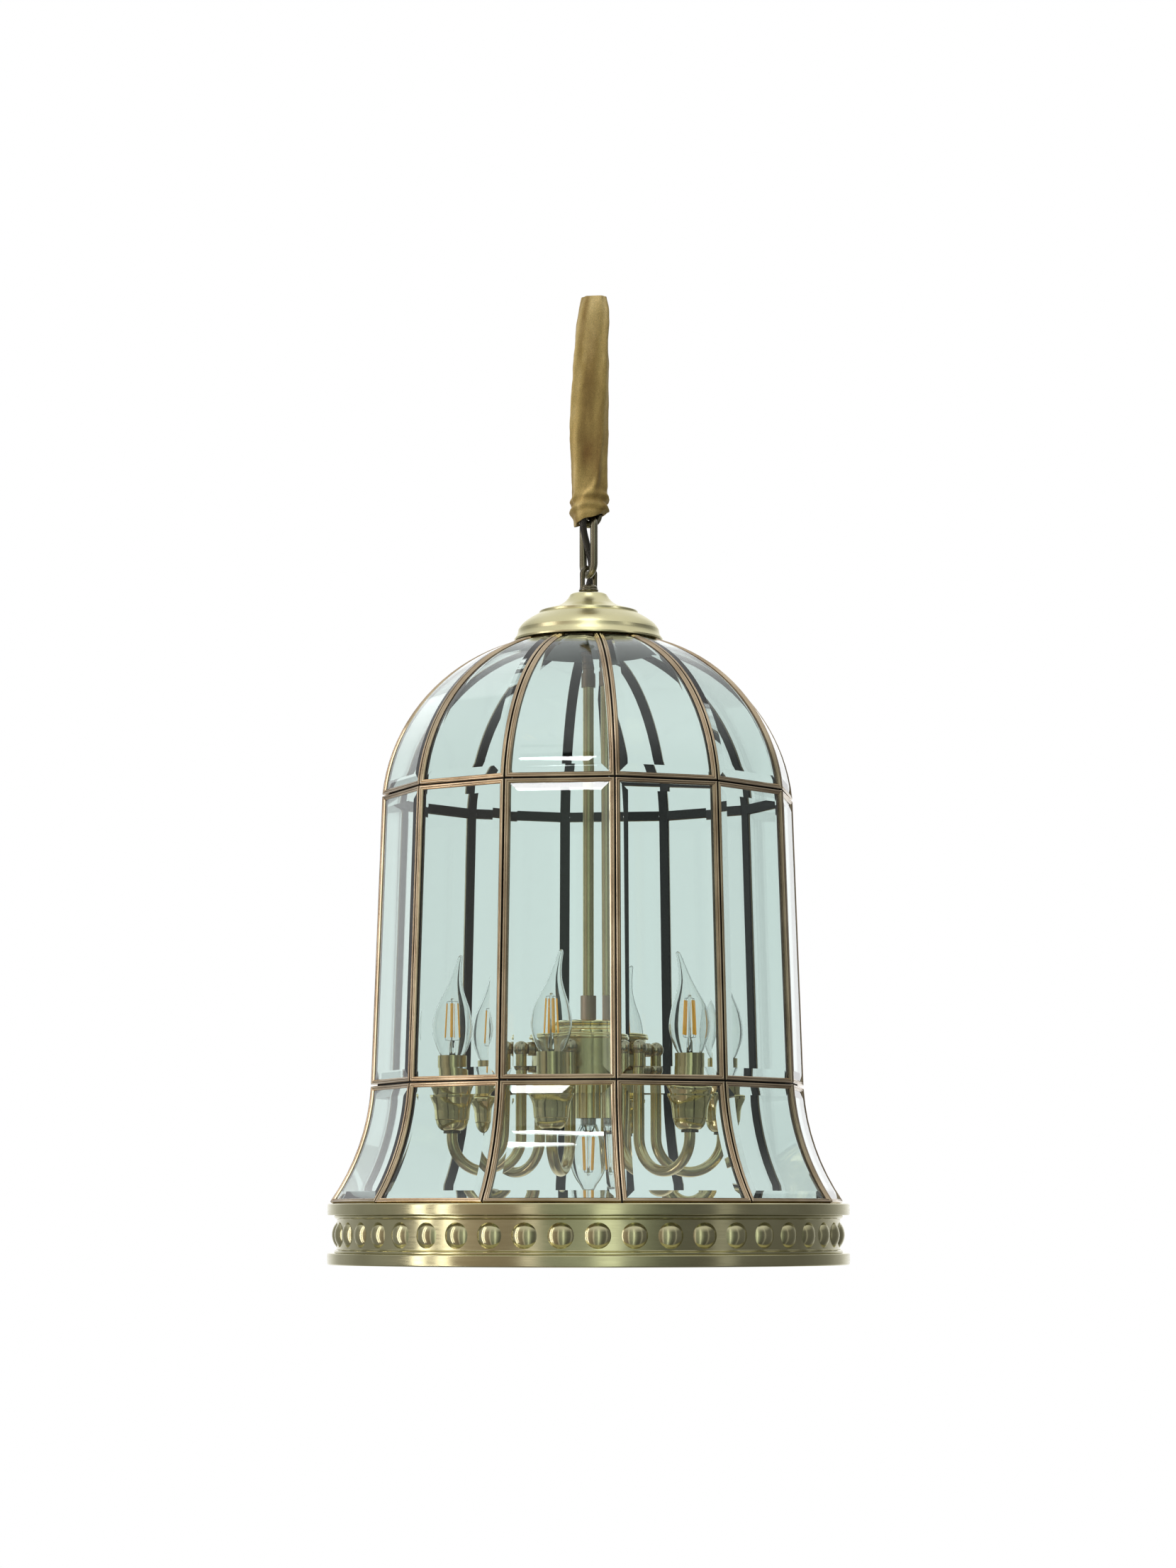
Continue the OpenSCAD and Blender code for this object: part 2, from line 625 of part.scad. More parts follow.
module arm_bulb_base(i) {
  color([0.75, 0.7, 0.6]) hung()
    on_circle(arm_turn + 360 / arm_count * i, candle_circle)
      translate([0, 0, bulb_seat_z]) bulb_cap(88);
}
module bulb_1_glass() { arm_bulb_glass(0); }
module bulb_1_base() { arm_bulb_base(0); }
module bulb_2_glass() { arm_bulb_glass(1); }
module bulb_2_base() { arm_bulb_base(1); }
module bulb_3_glass() { arm_bulb_glass(2); }
module bulb_3_base() { arm_bulb_base(2); }
module bulb_4_glass() { arm_bulb_glass(3); }
module bulb_4_base() { arm_bulb_base(3); }
module bulb_5_glass() { arm_bulb_glass(4); }
module bulb_5_base() { arm_bulb_base(4); }
module bulb_6_glass() { arm_bulb_glass(5); }
module bulb_6_base() { arm_bulb_base(5); }
module down_bulb_glass() {
  color([0.9, 0.95, 0.95, 0.3]) hung() translate([0, 0, down_seat_z]) mirror([0, 0, 1])
    bulb_shell(down_outline);
}
module down_bulb_base() {
  color([0.75, 0.7, 0.6]) hung() translate([0, 0, down_seat_z]) mirror([0, 0, 1]) bulb_cap(66);
}

upper_links();
velvet_sleeve();
flex_upper();
flex_cores();
chain_link();
flex_lower();
hanging_loop();
loop_washer();
flex_grommet();
canopy_cap();
top_nipple();
cap_nut();
top_plate();
ribs();
upper_hoop();
lower_hoop();
dome_cames();
straight_cames();
flare_cames();
dome_glass();
straight_glass();
flare_glass();
base_top_rim();
boss_band();
base_bottom_rim();
stem_coupler();
stem_collar();
stem_tube();
stem_ferrule();
hub_crown();
hub_lid();
hub_drum();
hub_floor();
knuckle_rings();
knuckle_balls();
arm_tubes();
arm_nuts();
candle_cups();
drip_rings();
candle_tubes();
lampholders();
down_tube();
down_lampholder();
bulb_1_glass();
bulb_1_base();
bulb_2_glass();
bulb_2_base();
bulb_3_glass();
bulb_3_base();
bulb_4_glass();
bulb_4_base();
bulb_5_glass();
bulb_5_base();
bulb_6_glass();
bulb_6_base();
down_bulb_glass();
down_bulb_base();
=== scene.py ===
"""Looks of the bell lantern: bevelled glass in reeded cames, candle cluster, chain in velvet."""

import json
import math

import bmesh
import bpy
from mathutils import Matrix, Vector, noise


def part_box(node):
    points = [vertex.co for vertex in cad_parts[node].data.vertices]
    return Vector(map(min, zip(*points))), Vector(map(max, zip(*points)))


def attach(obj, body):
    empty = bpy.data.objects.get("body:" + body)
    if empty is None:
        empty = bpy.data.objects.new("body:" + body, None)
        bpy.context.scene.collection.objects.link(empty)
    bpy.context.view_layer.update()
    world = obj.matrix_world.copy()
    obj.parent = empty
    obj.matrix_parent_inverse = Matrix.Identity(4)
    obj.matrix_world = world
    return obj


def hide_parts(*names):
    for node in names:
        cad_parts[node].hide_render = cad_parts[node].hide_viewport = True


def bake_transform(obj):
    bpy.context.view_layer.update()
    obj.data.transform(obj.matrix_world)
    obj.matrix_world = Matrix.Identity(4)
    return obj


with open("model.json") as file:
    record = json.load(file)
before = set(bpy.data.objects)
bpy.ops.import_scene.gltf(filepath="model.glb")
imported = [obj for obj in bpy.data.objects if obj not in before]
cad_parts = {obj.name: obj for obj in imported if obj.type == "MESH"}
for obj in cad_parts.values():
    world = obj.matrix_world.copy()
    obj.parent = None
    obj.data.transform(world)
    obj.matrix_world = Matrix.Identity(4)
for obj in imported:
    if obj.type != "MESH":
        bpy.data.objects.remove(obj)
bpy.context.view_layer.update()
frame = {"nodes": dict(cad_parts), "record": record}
scene = bpy.context.scene
nodes = frame["nodes"]

# ---------------------------------------------------------------- driving dimensions
# Sizes are in millimetres, and heights count up from the underside of the base ring.
MM = 0.001
BASE_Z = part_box("base_bottom_rim")[0].z
FACETS = 12
HALF_FACET = math.pi / FACETS
SHADE_TURN = 7
SHOULDER_R = 361 / 2 * math.cos(HALF_FACET)
WAIST_R = 378 / 2 * math.cos(HALF_FACET)
FLARE_Z = 53.2
WAIST_Z = 153.2
SHOULDER_Z = 404.2
DOME_RAD = 157.5
FLARE_RAD = 195
DOME_DROP = 14
FLARE_RISE = 10
DOME_TOP_R = 57
CAME_GAP = 1.4
CAME_W = 3.8
CAME_T = 5
PANE_TUCK = 0.3
GLASS_SET = 0.5
GLASS_T = 4
BEVEL_W = 7
BEVEL_DROP = 1.24
RING_R = 225
RING_H = 52
RIM_H = 9.8
BAND_R = 216.7
BAND_T = 1.2
BOSSES = 45
BOSS_TURN = 2
BOSS_R = 10.8
BOSS_OUT = 4.3
BOSS_Z = 25.6
BEAD_H = 3.9
CAP_Z = 542
CAP_H = 42
ARMS = [-15, 45, 105, 165, 225, 285]
CANDLE_CIRCLE = 120
CUP_Z = 113.5
CUP_H = 31
HUB_Z = 193
BULB_SEAT_Z = 137
DOWN_SEAT_Z = 143.5
LINK_Z = 597.5
LINK_LEN = 58.5
LINK_W = 26.6
LINK_WIRE = 6.6
CHAIN_TURN = 28
LOOP_Z = 585.6
LOOP_ARCH_R = 8.2
LOOP_BAR = 4.2
FLEX_D = 6
HEM_Z = 646
GATHER_Z = 662


def up(height):
    """Row height in metres of a point so many millimetres above the underside of the base ring."""
    return BASE_Z + height * MM


def row_point(point):
    """A point in metres in the row frame, from millimetres above the underside of the base ring."""
    return Vector((point[0] * MM, point[1] * MM, up(point[2])))


def turned(azimuth):
    """Turns local +X to point at an azimuth, counted from the front towards +X."""
    return Matrix.Rotation(math.radians(azimuth - 90), 4, "Z")


def placed(azimuth, radius, height):
    return turned(azimuth) @ lifted(height, radius)


def lifted(height, along=0):
    return Matrix.Translation((along, 0, height))


def direction(azimuth, elevation):
    """From the axis towards an azimuth, counted from the front towards +X, and an elevation."""
    a, e = math.radians(azimuth), math.radians(elevation)
    return Vector((math.sin(a) * math.cos(e), -math.cos(a) * math.cos(e), math.sin(e)))


# ---------------------------------------------------------------- camera
SENSOR_W = 36
FOCAL_LENGTH = 124.45
CAMERA_PLACE = (-0.0005, -3.528, up(40.5))
CAMERA_LOOKS_UP = 6.083


def add_camera():
    data = bpy.data.cameras.new("camera")
    data.sensor_fit = "HORIZONTAL"
    data.sensor_width = SENSOR_W
    data.lens = FOCAL_LENGTH
    camera = bpy.data.objects.new("camera", data)
    scene.collection.objects.link(camera)
    camera.location = CAMERA_PLACE
    camera.rotation_euler = (math.radians(90 + CAMERA_LOOKS_UP), 0, 0)
    scene.camera = camera


add_camera()


# ---------------------------------------------------------------- materials
# Scales of the noise on metal, per metre, and how far its roughness strays either way
STAINS, FLECKS, BRUSHING = 22, 900, 700
ROUGH_STRAY = 0.035
PILE = 1300


def new_material(name):
    material = bpy.data.materials.new(name)
    material.use_nodes = True
    tree = material.node_tree
    return material, tree, tree.nodes["Principled BSDF"]


def add(tree, kind, **values):
    node = tree.nodes.new(kind)
    for key, value in values.items():
        if key in node.inputs.keys():
            node.inputs[key].default_value = value
        else:
            setattr(node, key, value)
    return node


def grain(tree, scale, detail=4.0, stretch=(1, 1, 1), rough=0.5):
    """Noise over the object's own coordinates, in metres, stretched along an axis."""
    coords = add(tree, "ShaderNodeTexCoord")
    mapping = add(tree, "ShaderNodeMapping", Scale=stretch)
    texture = add(tree, "ShaderNodeTexNoise", Scale=scale, Detail=detail, Roughness=rough)
    tree.links.new(coords.outputs["Object"], mapping.inputs["Vector"])
    tree.links.new(mapping.outputs["Vector"], texture.inputs["Vector"])
    return texture.outputs["Fac"]


def ramp(tree, source, stops):
    node = add(tree, "ShaderNodeValToRGB")
    elements = node.color_ramp.elements
    while len(elements) < len(stops):
        elements.new(0.5)
    for element, (place, colour) in zip(elements, stops):
        element.position = place
        element.color = (*colour, 1) if len(colour) == 3 else (colour[0],) * 3 + (1,)
    tree.links.new(source, node.inputs["Fac"])
    return node.outputs["Color"]


def multiplied(tree, first, second):
    mix = add(tree, "ShaderNodeMix", data_type="RGBA", blend_type="MULTIPLY")
    mix.inputs["Factor"].default_value = 1
    tree.links.new(first, mix.inputs["A"])
    tree.links.new(second, mix.inputs["B"])
    return mix.outputs["Result"]


def bump(tree, shader, height, strength, distance):
    node = add(tree, "ShaderNodeBump", Strength=strength, Distance=distance)
    tree.links.new(height, node.inputs["Height"])
    tree.links.new(node.outputs["Normal"], shader.inputs["Normal"])


def metal(name, light, dark, roughness, stretch=(1, 1, 0.06), fleck=0.8):
    """Antique metal: soft stains between two tones, fine brushing, and small dark flecks."""
    material, tree, shader = new_material(name)
    shader.inputs["Metallic"].default_value = 1
    stains = ramp(tree, grain(tree, STAINS, 6), [(0.32, dark), (0.68, light)])
    flecks = ramp(tree, grain(tree, FLECKS, 2, rough=0.7), [(0.22, (fleck,)), (0.34, (1.0,))])
    tree.links.new(multiplied(tree, stains, flecks), shader.inputs["Base Color"])
    brushed = grain(tree, BRUSHING, 3, stretch)
    smooth, rough = (roughness - ROUGH_STRAY,), (roughness + ROUGH_STRAY,)
    tree.links.new(ramp(tree, brushed, [(0.3, smooth), (0.7, rough)]), shader.inputs["Roughness"])
    bump(tree, shader, brushed, 0.02, 0.0001)
    return material


def glass(name, tint):
    """Clear glass with the faintest waviness of a cast sheet."""
    material, tree, shader = new_material(name)
    shader.inputs["Base Color"].default_value = (*tint, 1)
    shader.inputs["Transmission Weight"].default_value = 1
    shader.inputs["Roughness"].default_value = 0
    shader.inputs["IOR"].default_value = 1.5
    bump(tree, shader, grain(tree, 9, 1), 0.003, 0.002)
    return material


def painted(name, colour, roughness, grit_scale, grit):
    material, tree, shader = new_material(name)
    speckle = grain(tree, grit_scale, 6, rough=0.7)
    tones = [(0.3, tuple(0.6 * c for c in colour)), (0.75, tuple(1.5 * c for c in colour))]
    tree.links.new(ramp(tree, speckle, tones), shader.inputs["Base Color"])
    shader.inputs["Roughness"].default_value = roughness
    bump(tree, shader, speckle, grit, 0.0004)
    return material


def velvet():
    """Golden brown crushed velvet: short pile, a soft sheen, and painted light and shade from the
    sleeve's folds.
    """
    material, tree, shader = new_material("velvet")
    crushed = ramp(
        tree,
        grain(tree, 26, 6, (1, 1, 0.35), 0.65),
        [(0.3, (0.28, 0.18, 0.045)), (0.5, (0.50, 0.355, 0.11)), (0.72, (0.80, 0.62, 0.27))],
    )
    # Painted light from the sleeve's point attribute: warm and dark in the fold hollows and one
    # darker patch, pale and bluish as a painted highlight on the crease and fold crests
    pile_shading = ramp(
        tree,
        add(tree, "ShaderNodeAttribute", attribute_name="crush").outputs["Fac"],
        [(0.0, (0.5, 0.36, 0.24)), (0.5, (1, 1, 1)), (1.0, (1.9, 1.95, 2.4))],
    )
    pile = ramp(tree, grain(tree, PILE, 3, rough=0.8), [(0.3, (0.62,)), (0.72, (1.25,))])
    colour = multiplied(tree, multiplied(tree, crushed, pile_shading), pile)
    tree.links.new(colour, shader.inputs["Base Color"])
    shader.inputs["Roughness"].default_value = 0.85
    shader.inputs["Sheen Weight"].default_value = 0.5
    shader.inputs["Sheen Roughness"].default_value = 0.4
    shader.inputs["Sheen Tint"].default_value = (0.95, 0.82, 0.55, 1)
    bump(tree, shader, grain(tree, PILE, 3, rough=0.8), 0.5, 0.0006)
    return material


def braid(name, colour):
    """Woven cover of the flex: two crossing sets of fine strands, with painted highlight on their
    tops and painted shade in the gaps.
    """
    material, tree, shader = new_material(name)
    coords = add(tree, "ShaderNodeTexCoord")
    heights = []
    for lean in (0.9, -0.9):
        mapping = add(tree, "ShaderNodeMapping", Rotation=(lean, lean, 0))
        wave = add(tree, "ShaderNodeTexWave", Scale=260, Distortion=0.4)
        tree.links.new(coords.outputs["Object"], mapping.inputs["Vector"])
        tree.links.new(mapping.outputs["Vector"], wave.inputs["Vector"])
        heights.append(wave.outputs["Fac"])
    cross = add(tree, "ShaderNodeMath", operation="MULTIPLY")
    tree.links.new(heights[0], cross.inputs[0])
    tree.links.new(heights[1], cross.inputs[1])
    # Painted light: the tones follow the weave's height, lighter on the strands and darker in the
    # gaps between them
    tones = [(0.0, tuple(0.5 * c for c in colour)), (0.7, tuple(1.6 * c for c in colour))]
    tree.links.new(ramp(tree, cross.outputs["Value"], tones), shader.inputs["Base Color"])
    shader.inputs["Roughness"].default_value = 0.45
    bump(tree, shader, cross.outputs["Value"], 0.6, 0.0004)
    return material


RING_BRASS = metal("ring_brass", (0.62, 0.59, 0.36), (0.52, 0.485, 0.28), 0.17, (0.06, 0.06, 1))
CAME_BRASS = metal("came_brass", (0.70, 0.575, 0.40), (0.44, 0.34, 0.225), 0.11)
CLUSTER = metal("cluster_brass", (0.76, 0.635, 0.36), (0.62, 0.505, 0.27), 0.2)
CUP_BRASS = metal("cup_brass", (0.99, 0.83, 0.47), (0.92, 0.76, 0.40), 0.13, fleck=0.94)
KNUCKLE = metal("knuckle_bronze", (0.68, 0.57, 0.41), (0.50, 0.41, 0.28), 0.18)
CAP_BRASS = metal("cap_brass", (0.79, 0.745, 0.45), (0.70, 0.655, 0.38), 0.3, (0.06, 0.06, 1))
BRONZE = metal("dark_bronze", (0.20, 0.18, 0.12), (0.10, 0.085, 0.055), 0.24)
COPPER = metal("copper_bronze", (0.36, 0.27, 0.19), (0.26, 0.19, 0.13), 0.4)
FERRULE = metal("ferrule_copper", (0.64, 0.49, 0.38), (0.54, 0.41, 0.31), 0.5)
CHAIN = metal("chain_brass", (0.34, 0.32, 0.22), (0.20, 0.18, 0.12), 0.26)
NICKEL = metal("cap_nickel", (0.62, 0.60, 0.56), (0.5, 0.48, 0.44), 0.25)
WIRE = metal("support_wire", (0.45, 0.44, 0.42), (0.3, 0.29, 0.28), 0.3)
SHADE_GLASS = glass("shade_glass", (0.80, 0.89, 0.865))
BULB_GLASS = glass("bulb_glass", (0.985, 0.995, 0.99))
# Near-black for the inner faces of the cames seen from inside the shade: their own dark patina and
# painted shade
DARK_STRIP_AND_SHADE = painted("black_strip", (0.028, 0.034, 0.034), 0.6, 900, 0.5)
GREY_PLATE = painted("grey_plate", (0.13, 0.16, 0.15), 0.55, 600, 0.3)
BLACK = painted("black_rubber", (0.02, 0.02, 0.02), 0.5, 1500, 0.3)
PHOSPHOR_AND_GLOW = painted("filament_phosphor_glow", (0.80, 0.40, 0.04), 0.5, 2500, 0.3)
# The unlit filaments glow faintly over their coating's own orange: painted light
phosphor_glow_inputs = PHOSPHOR_AND_GLOW.node_tree.nodes["Principled BSDF"].inputs
phosphor_glow_inputs["Emission Color"].default_value = (1, 0.48, 0.05, 1)
phosphor_glow_inputs["Emission Strength"].default_value = 0.34
VELVET = velvet()
BRAID = braid("flex_braid", (0.05, 0.043, 0.036))

LOOKS = {
    "chain": CHAIN,
    "velvet": VELVET,
    "flex": BRAID,
    "core_wire": COPPER,
    "bronze": BRONZE,
    "black_washer": BLACK,
    "brass": RING_BRASS,
    "plain_brass": CUP_BRASS,
    "grey_plate": GREY_PLATE,
    "black_strip": DARK_STRIP_AND_SHADE,
    "came_brass": CAME_BRASS,
    "panel_glass": SHADE_GLASS,
    "copper_bronze": COPPER,
    "cluster_brass": CLUSTER,
    "cup_brass": CUP_BRASS,
    "black_plastic": BLACK,
    "bulb_glass": BULB_GLASS,
    "bulb_metal": NICKEL,
}
for part in frame["record"]["subparts"]:
    mesh = nodes[part["node"]].data
    mesh.materials.clear()
    mesh.materials.append(LOOKS[part["material_slot"]])
for name in ("knuckle_balls", "knuckle_rings"):
    nodes[name].data.materials[0] = KNUCKLE
nodes["stem_ferrule"].data.materials[0] = FERRULE


# ---------------------------------------------------------------- shapes
class Shape:
    """Points in millimetres and faces, gathered before they become one piece."""

    def __init__(self):
        self.points = []
        self.faces = []
        self.looks = []

    def add(self, points, faces, place=None, look=0):
        start = len(self.points)
        for point in points:
            self.points.append(place @ Vector(point) if place else Vector(point))
        self.faces += [[start + i for i in face] for face in faces]
        self.looks += [look] * len(faces)

    def piece(self, name, body, stands_for, slot, looks, sharp=28, weld=0.002):
        mesh = bpy.data.meshes.new(name)
        mesh.from_pydata([row_point(p) for p in self.points], [], self.faces)
        for look in looks:
            mesh.materials.append(look)
        mesh.polygons.foreach_set("material_index", self.looks)
        shell = bmesh.new()
        shell.from_mesh(mesh)
        bmesh.ops.remove_doubles(shell, verts=shell.verts, dist=weld * MM)
        bmesh.ops.dissolve_degenerate(shell, edges=shell.edges, dist=weld * MM)
        bmesh.ops.recalc_face_normals(shell, faces=shell.faces)
        for face in shell.faces:
            face.smooth = True
        for edge in shell.edges:
            edge.smooth = edge.calc_face_angle(0) < math.radians(sharp)
        shell.to_mesh(mesh)
        shell.free()
        piece = bpy.data.objects.new(name, mesh)
        scene.collection.objects.link(piece)
        if body:
            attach(piece, body)
        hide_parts(*stands_for)
        return piece


def grid_faces(rows, columns, wrap_rows=False, wrap_columns=True):
    faces = []
    for i in range(rows if wrap_rows else rows - 1):
        for k in range(columns if wrap_columns else columns - 1):
            a, b = i * columns, (i + 1) % rows * columns
            faces.append([a + k, a + (k + 1) % columns, b + (k + 1) % columns, b + k])
    return faces


def curve_through(points, steps=6):
    """A smooth curve through the points, with so many steps between neighbours."""
    points = [Vector(p) for p in points]
    ends = [2 * points[0] - points[1]] + points + [2 * points[-1] - points[-2]]
    line = []
    for i in range(1, len(ends) - 2):
        a, b, c, d = ends[i - 1 : i + 3]
        for k in range(steps):
            t = k / steps
            point = 2 * b + (c - a) * t + (2 * a - 5 * b + 4 * c - d) * t * t
            line.append(0.5 * (point + (3 * b - a - 3 * c + d) * t**3))
    return line + [points[-1]]


def rounded(outline, radius):
    """The closed outline with its corners rounded off."""
    out = []
    count = len(outline)
    for i in range(count):
        here, before, after = (Vector(outline[j % count]) for j in (i, i - 1, i + 1))
        back, on = before - here, after - here
        if back.length < 1e-6 or on.length < 1e-6 or back.angle(-on, 0) < math.radians(20):
            out.append(here)
            continue
        cut = min(radius, 0.4 * back.length, 0.4 * on.length)
        first, last = here + back.normalized() * cut, here + on.normalized() * cut
        for t in (0, 0.33, 0.67, 1):
            out.append((1 - t) ** 2 * first + 2 * t * (1 - t) * here + t * t * last)
    return out


def lathe(shape, outline, place=None, steps=96, radius=0.35, look=0):
    """A closed outline of radius and height, turned round the axis, with soft corners."""
    outline = rounded(outline, radius)
    points = []
    for r, z in outline:
        for k in range(steps):
            angle = 2 * math.pi * k / steps
            points.append((max(r, 0) * math.cos(angle), max(r, 0) * math.sin(angle), z))
    shape.add(points, grid_faces(len(outline), steps, True), place, look)


def sweep(shape, path, profile, place=None, look=0, closed=False, side=None):
    """A closed profile swept along a path. It may be a function of the share of the way."""
    path = [Vector(p) for p in path]
    count = len(path)
    points = []
    right = None
    for i, here in enumerate(path):
        before = path[(i - 1) % count] if closed or i else here
        after = path[(i + 1) % count] if closed or i < count - 1 else here
        ahead = (after - before).normalized()
        if side is not None:
            right = Vector(side)
        elif right is None:
            right = ahead.orthogonal()
        right = (right - ahead * right.dot(ahead)).normalized()
        other = ahead.cross(right)
        ring = profile(i / (count - 1)) if callable(profile) else profile
        for a, b in ring:
            points.append(here + right * a + other * b)
    width = len(points) // count
    faces = grid_faces(count, width, closed)
    if not closed:
        faces += [list(range(width))[::-1], [(count - 1) * width + k for k in range(width)]]
    shape.add(points, faces, place, look)


def round_profile(radius, sides=16):
    return [
        (radius * math.cos(2 * math.pi * k / sides), radius * math.sin(2 * math.pi * k / sides))
        for k in range(sides)
    ]


# ---------------------------------------------------------------- shade panels
DOME_CR = SHOULDER_R - math.sqrt(DOME_RAD**2 - DOME_DROP**2)
DOME_CZ = SHOULDER_Z - DOME_DROP
DOME_A0 = math.asin(DOME_DROP / DOME_RAD)
DOME_A1 = math.acos((DOME_TOP_R - DOME_CR) / DOME_RAD)
FLARE_CR = WAIST_R + math.sqrt(FLARE_RAD**2 - FLARE_RISE**2)
FLARE_CZ = WAIST_Z + FLARE_RISE
FLARE_A1 = math.asin((FLARE_RISE + WAIST_Z - FLARE_Z) / FLARE_RAD)
FLARE_A0 = math.asin(FLARE_RISE / FLARE_RAD)
TILT = math.atan((WAIST_R - SHOULDER_R) / (SHOULDER_Z - WAIST_Z))
ROWS = {
    "dome": (DOME_RAD * (DOME_A1 - DOME_A0), 40),
    "straight": ((SHOULDER_Z - WAIST_Z) / math.cos(TILT), 2),
    "flare": (FLARE_RAD * (FLARE_A1 - FLARE_A0), 16),
}


def panel_point(row, s, depth):
    """Radius and height of a point s up the panel and so deep behind its front face."""
    if row == "dome":
        angle, reach = DOME_A0 + s / DOME_RAD, DOME_RAD - depth
        return DOME_CR + reach * math.cos(angle), DOME_CZ + reach * math.sin(angle)
    if row == "straight":
        return (
            WAIST_R - s * math.sin(TILT) - depth * math.cos(TILT),
            WAIST_Z + s * math.cos(TILT) - depth * math.sin(TILT),
        )
    angle, reach = FLARE_A1 - s / FLARE_RAD, FLARE_RAD + depth
    return FLARE_CR - reach * math.cos(angle), FLARE_CZ - reach * math.sin(angle)


def half_width(radius, inset):
    return (radius - inset / math.sin(HALF_FACET)) * math.tan(HALF_FACET)


def facet_places():
    for i in range(FACETS):
        yield turned(SHADE_TURN + 180 / FACETS * (2 * i + 1))


def glass_pane(row):
    """One closed pane, its front face ground down to a flat bevel along all four edges."""
    length, steps = ROWS[row]
    inset = CAME_GAP / 2 + CAME_W - PANE_TUCK
    rise = [(inset, BEVEL_DROP, 0)]
    for i in range(steps + 1):
        s = inset + BEVEL_W + (length - 2 * inset - 2 * BEVEL_W) * i / steps
        rise.append((s, 0, BEVEL_W))
    rise.append((length - inset, BEVEL_DROP, 0))
    front, back = [], []
    for s, drop, bevel in rise:
        level = panel_point(row, s, GLASS_SET)[0]
        edge, inner = half_width(level, inset), half_width(level, inset + BEVEL_W)
        for u, u_drop in ((-edge, BEVEL_DROP), (-inner, drop), (inner, drop), (edge, BEVEL_DROP)):
            r, z = panel_point(row, s, GLASS_SET + max(drop, u_drop))
            front.append((r, u, z))
            r, z = panel_point(row, s, GLASS_SET + GLASS_T)
            back.append((r, u, z))
    rows = len(rise)
    size = 4 * rows
    faces = []
    for i in range(rows - 1):
        for k in range(3):
            a, b, c, d = i * 4 + k, i * 4 + k + 1, (i + 1) * 4 + k + 1, (i + 1) * 4 + k
            if (i == 0 and k == 2) or (i == rows - 2 and k == 0):
                faces += [[a, b, d], [b, c, d]]
            elif (i == 0 and k == 0) or (i == rows - 2 and k == 2):
                faces += [[a, b, c], [a, c, d]]
            else:
                faces.append([a, b, c, d])
            faces.append([size + d, size + c, size + b, size + a])
    rim = list(range(4)) + [4 * i + 3 for i in range(1, rows)]
    rim += [4 * (rows - 1) + k for k in (2, 1, 0)] + [4 * i for i in range(rows - 2, 0, -1)]
    for k, a in enumerate(rim):
        b = rim[(k + 1) % len(rim)]
        faces.append([a, size + a, size + b, b])
    return front + back, faces


def came_profile():
    """Inset and depth round a came's section: two reeds and a lip in front, flat behind."""
    profile = [(0, CAME_T), (0, 0.9)]
    for start, end, top in ((0, 1.75, 0.0), (1.75, 3.1, 0.25)):
        for k in range(7):
            t = k / 6
            profile.append((start + (end - start) * t, top + 0.62 * (2 * t - 1) ** 2))
    return profile + [(3.25, 0.75), (CAME_W, 1.2), (CAME_W, CAME_T)]


def came_frame(row):
    """One frame round a pane: the section follows its four sides, mitred at the corners."""
    length, steps = ROWS[row]
    steps = max(steps // 2, 1)
    points = []
    profile = came_profile()
    for inset, depth in profile:
        gap = CAME_GAP / 2 + inset
        side = [gap + (length - 2 * gap) * i / steps for i in range(steps + 1)]
        for s, sign in [(s, 1) for s in side] + [(s, -1) for s in side[::-1]]:
            r, z = panel_point(row, s, depth)
            points.append((r, sign * half_width(r, gap), z))
    return points, grid_faces(len(profile), 2 * (steps + 1), True)


def add_shade():
    for row in ROWS:
        panes, frames = Shape(), Shape()
        for place in facet_places():
            panes.add(*glass_pane(row), place)
            frames.add(*came_frame(row), place)
        glass_node, came_node = row + "_glass", row + "_cames"
        pane = panes.piece(
            row + "_panes", "lantern", [glass_node], "panel_glass", [SHADE_GLASS], 2.4
        )
        pane.visible_shadow = False
        frames.piece(
            row + "_came_frames", "lantern", [came_node], "came_brass", [CAME_BRASS], 35
        )


# ---------------------------------------------------------------- base ring
def boss_height(distance):
    """How far the pressed metal stands out, so far from a boss's middle."""
    if distance >= BOSS_R:
        return 0.0
    ball = (BOSS_R**2 + BOSS_OUT**2) / (2 * BOSS_OUT)
    return math.sqrt(ball**2 - distance**2) - (ball - BOSS_OUT)


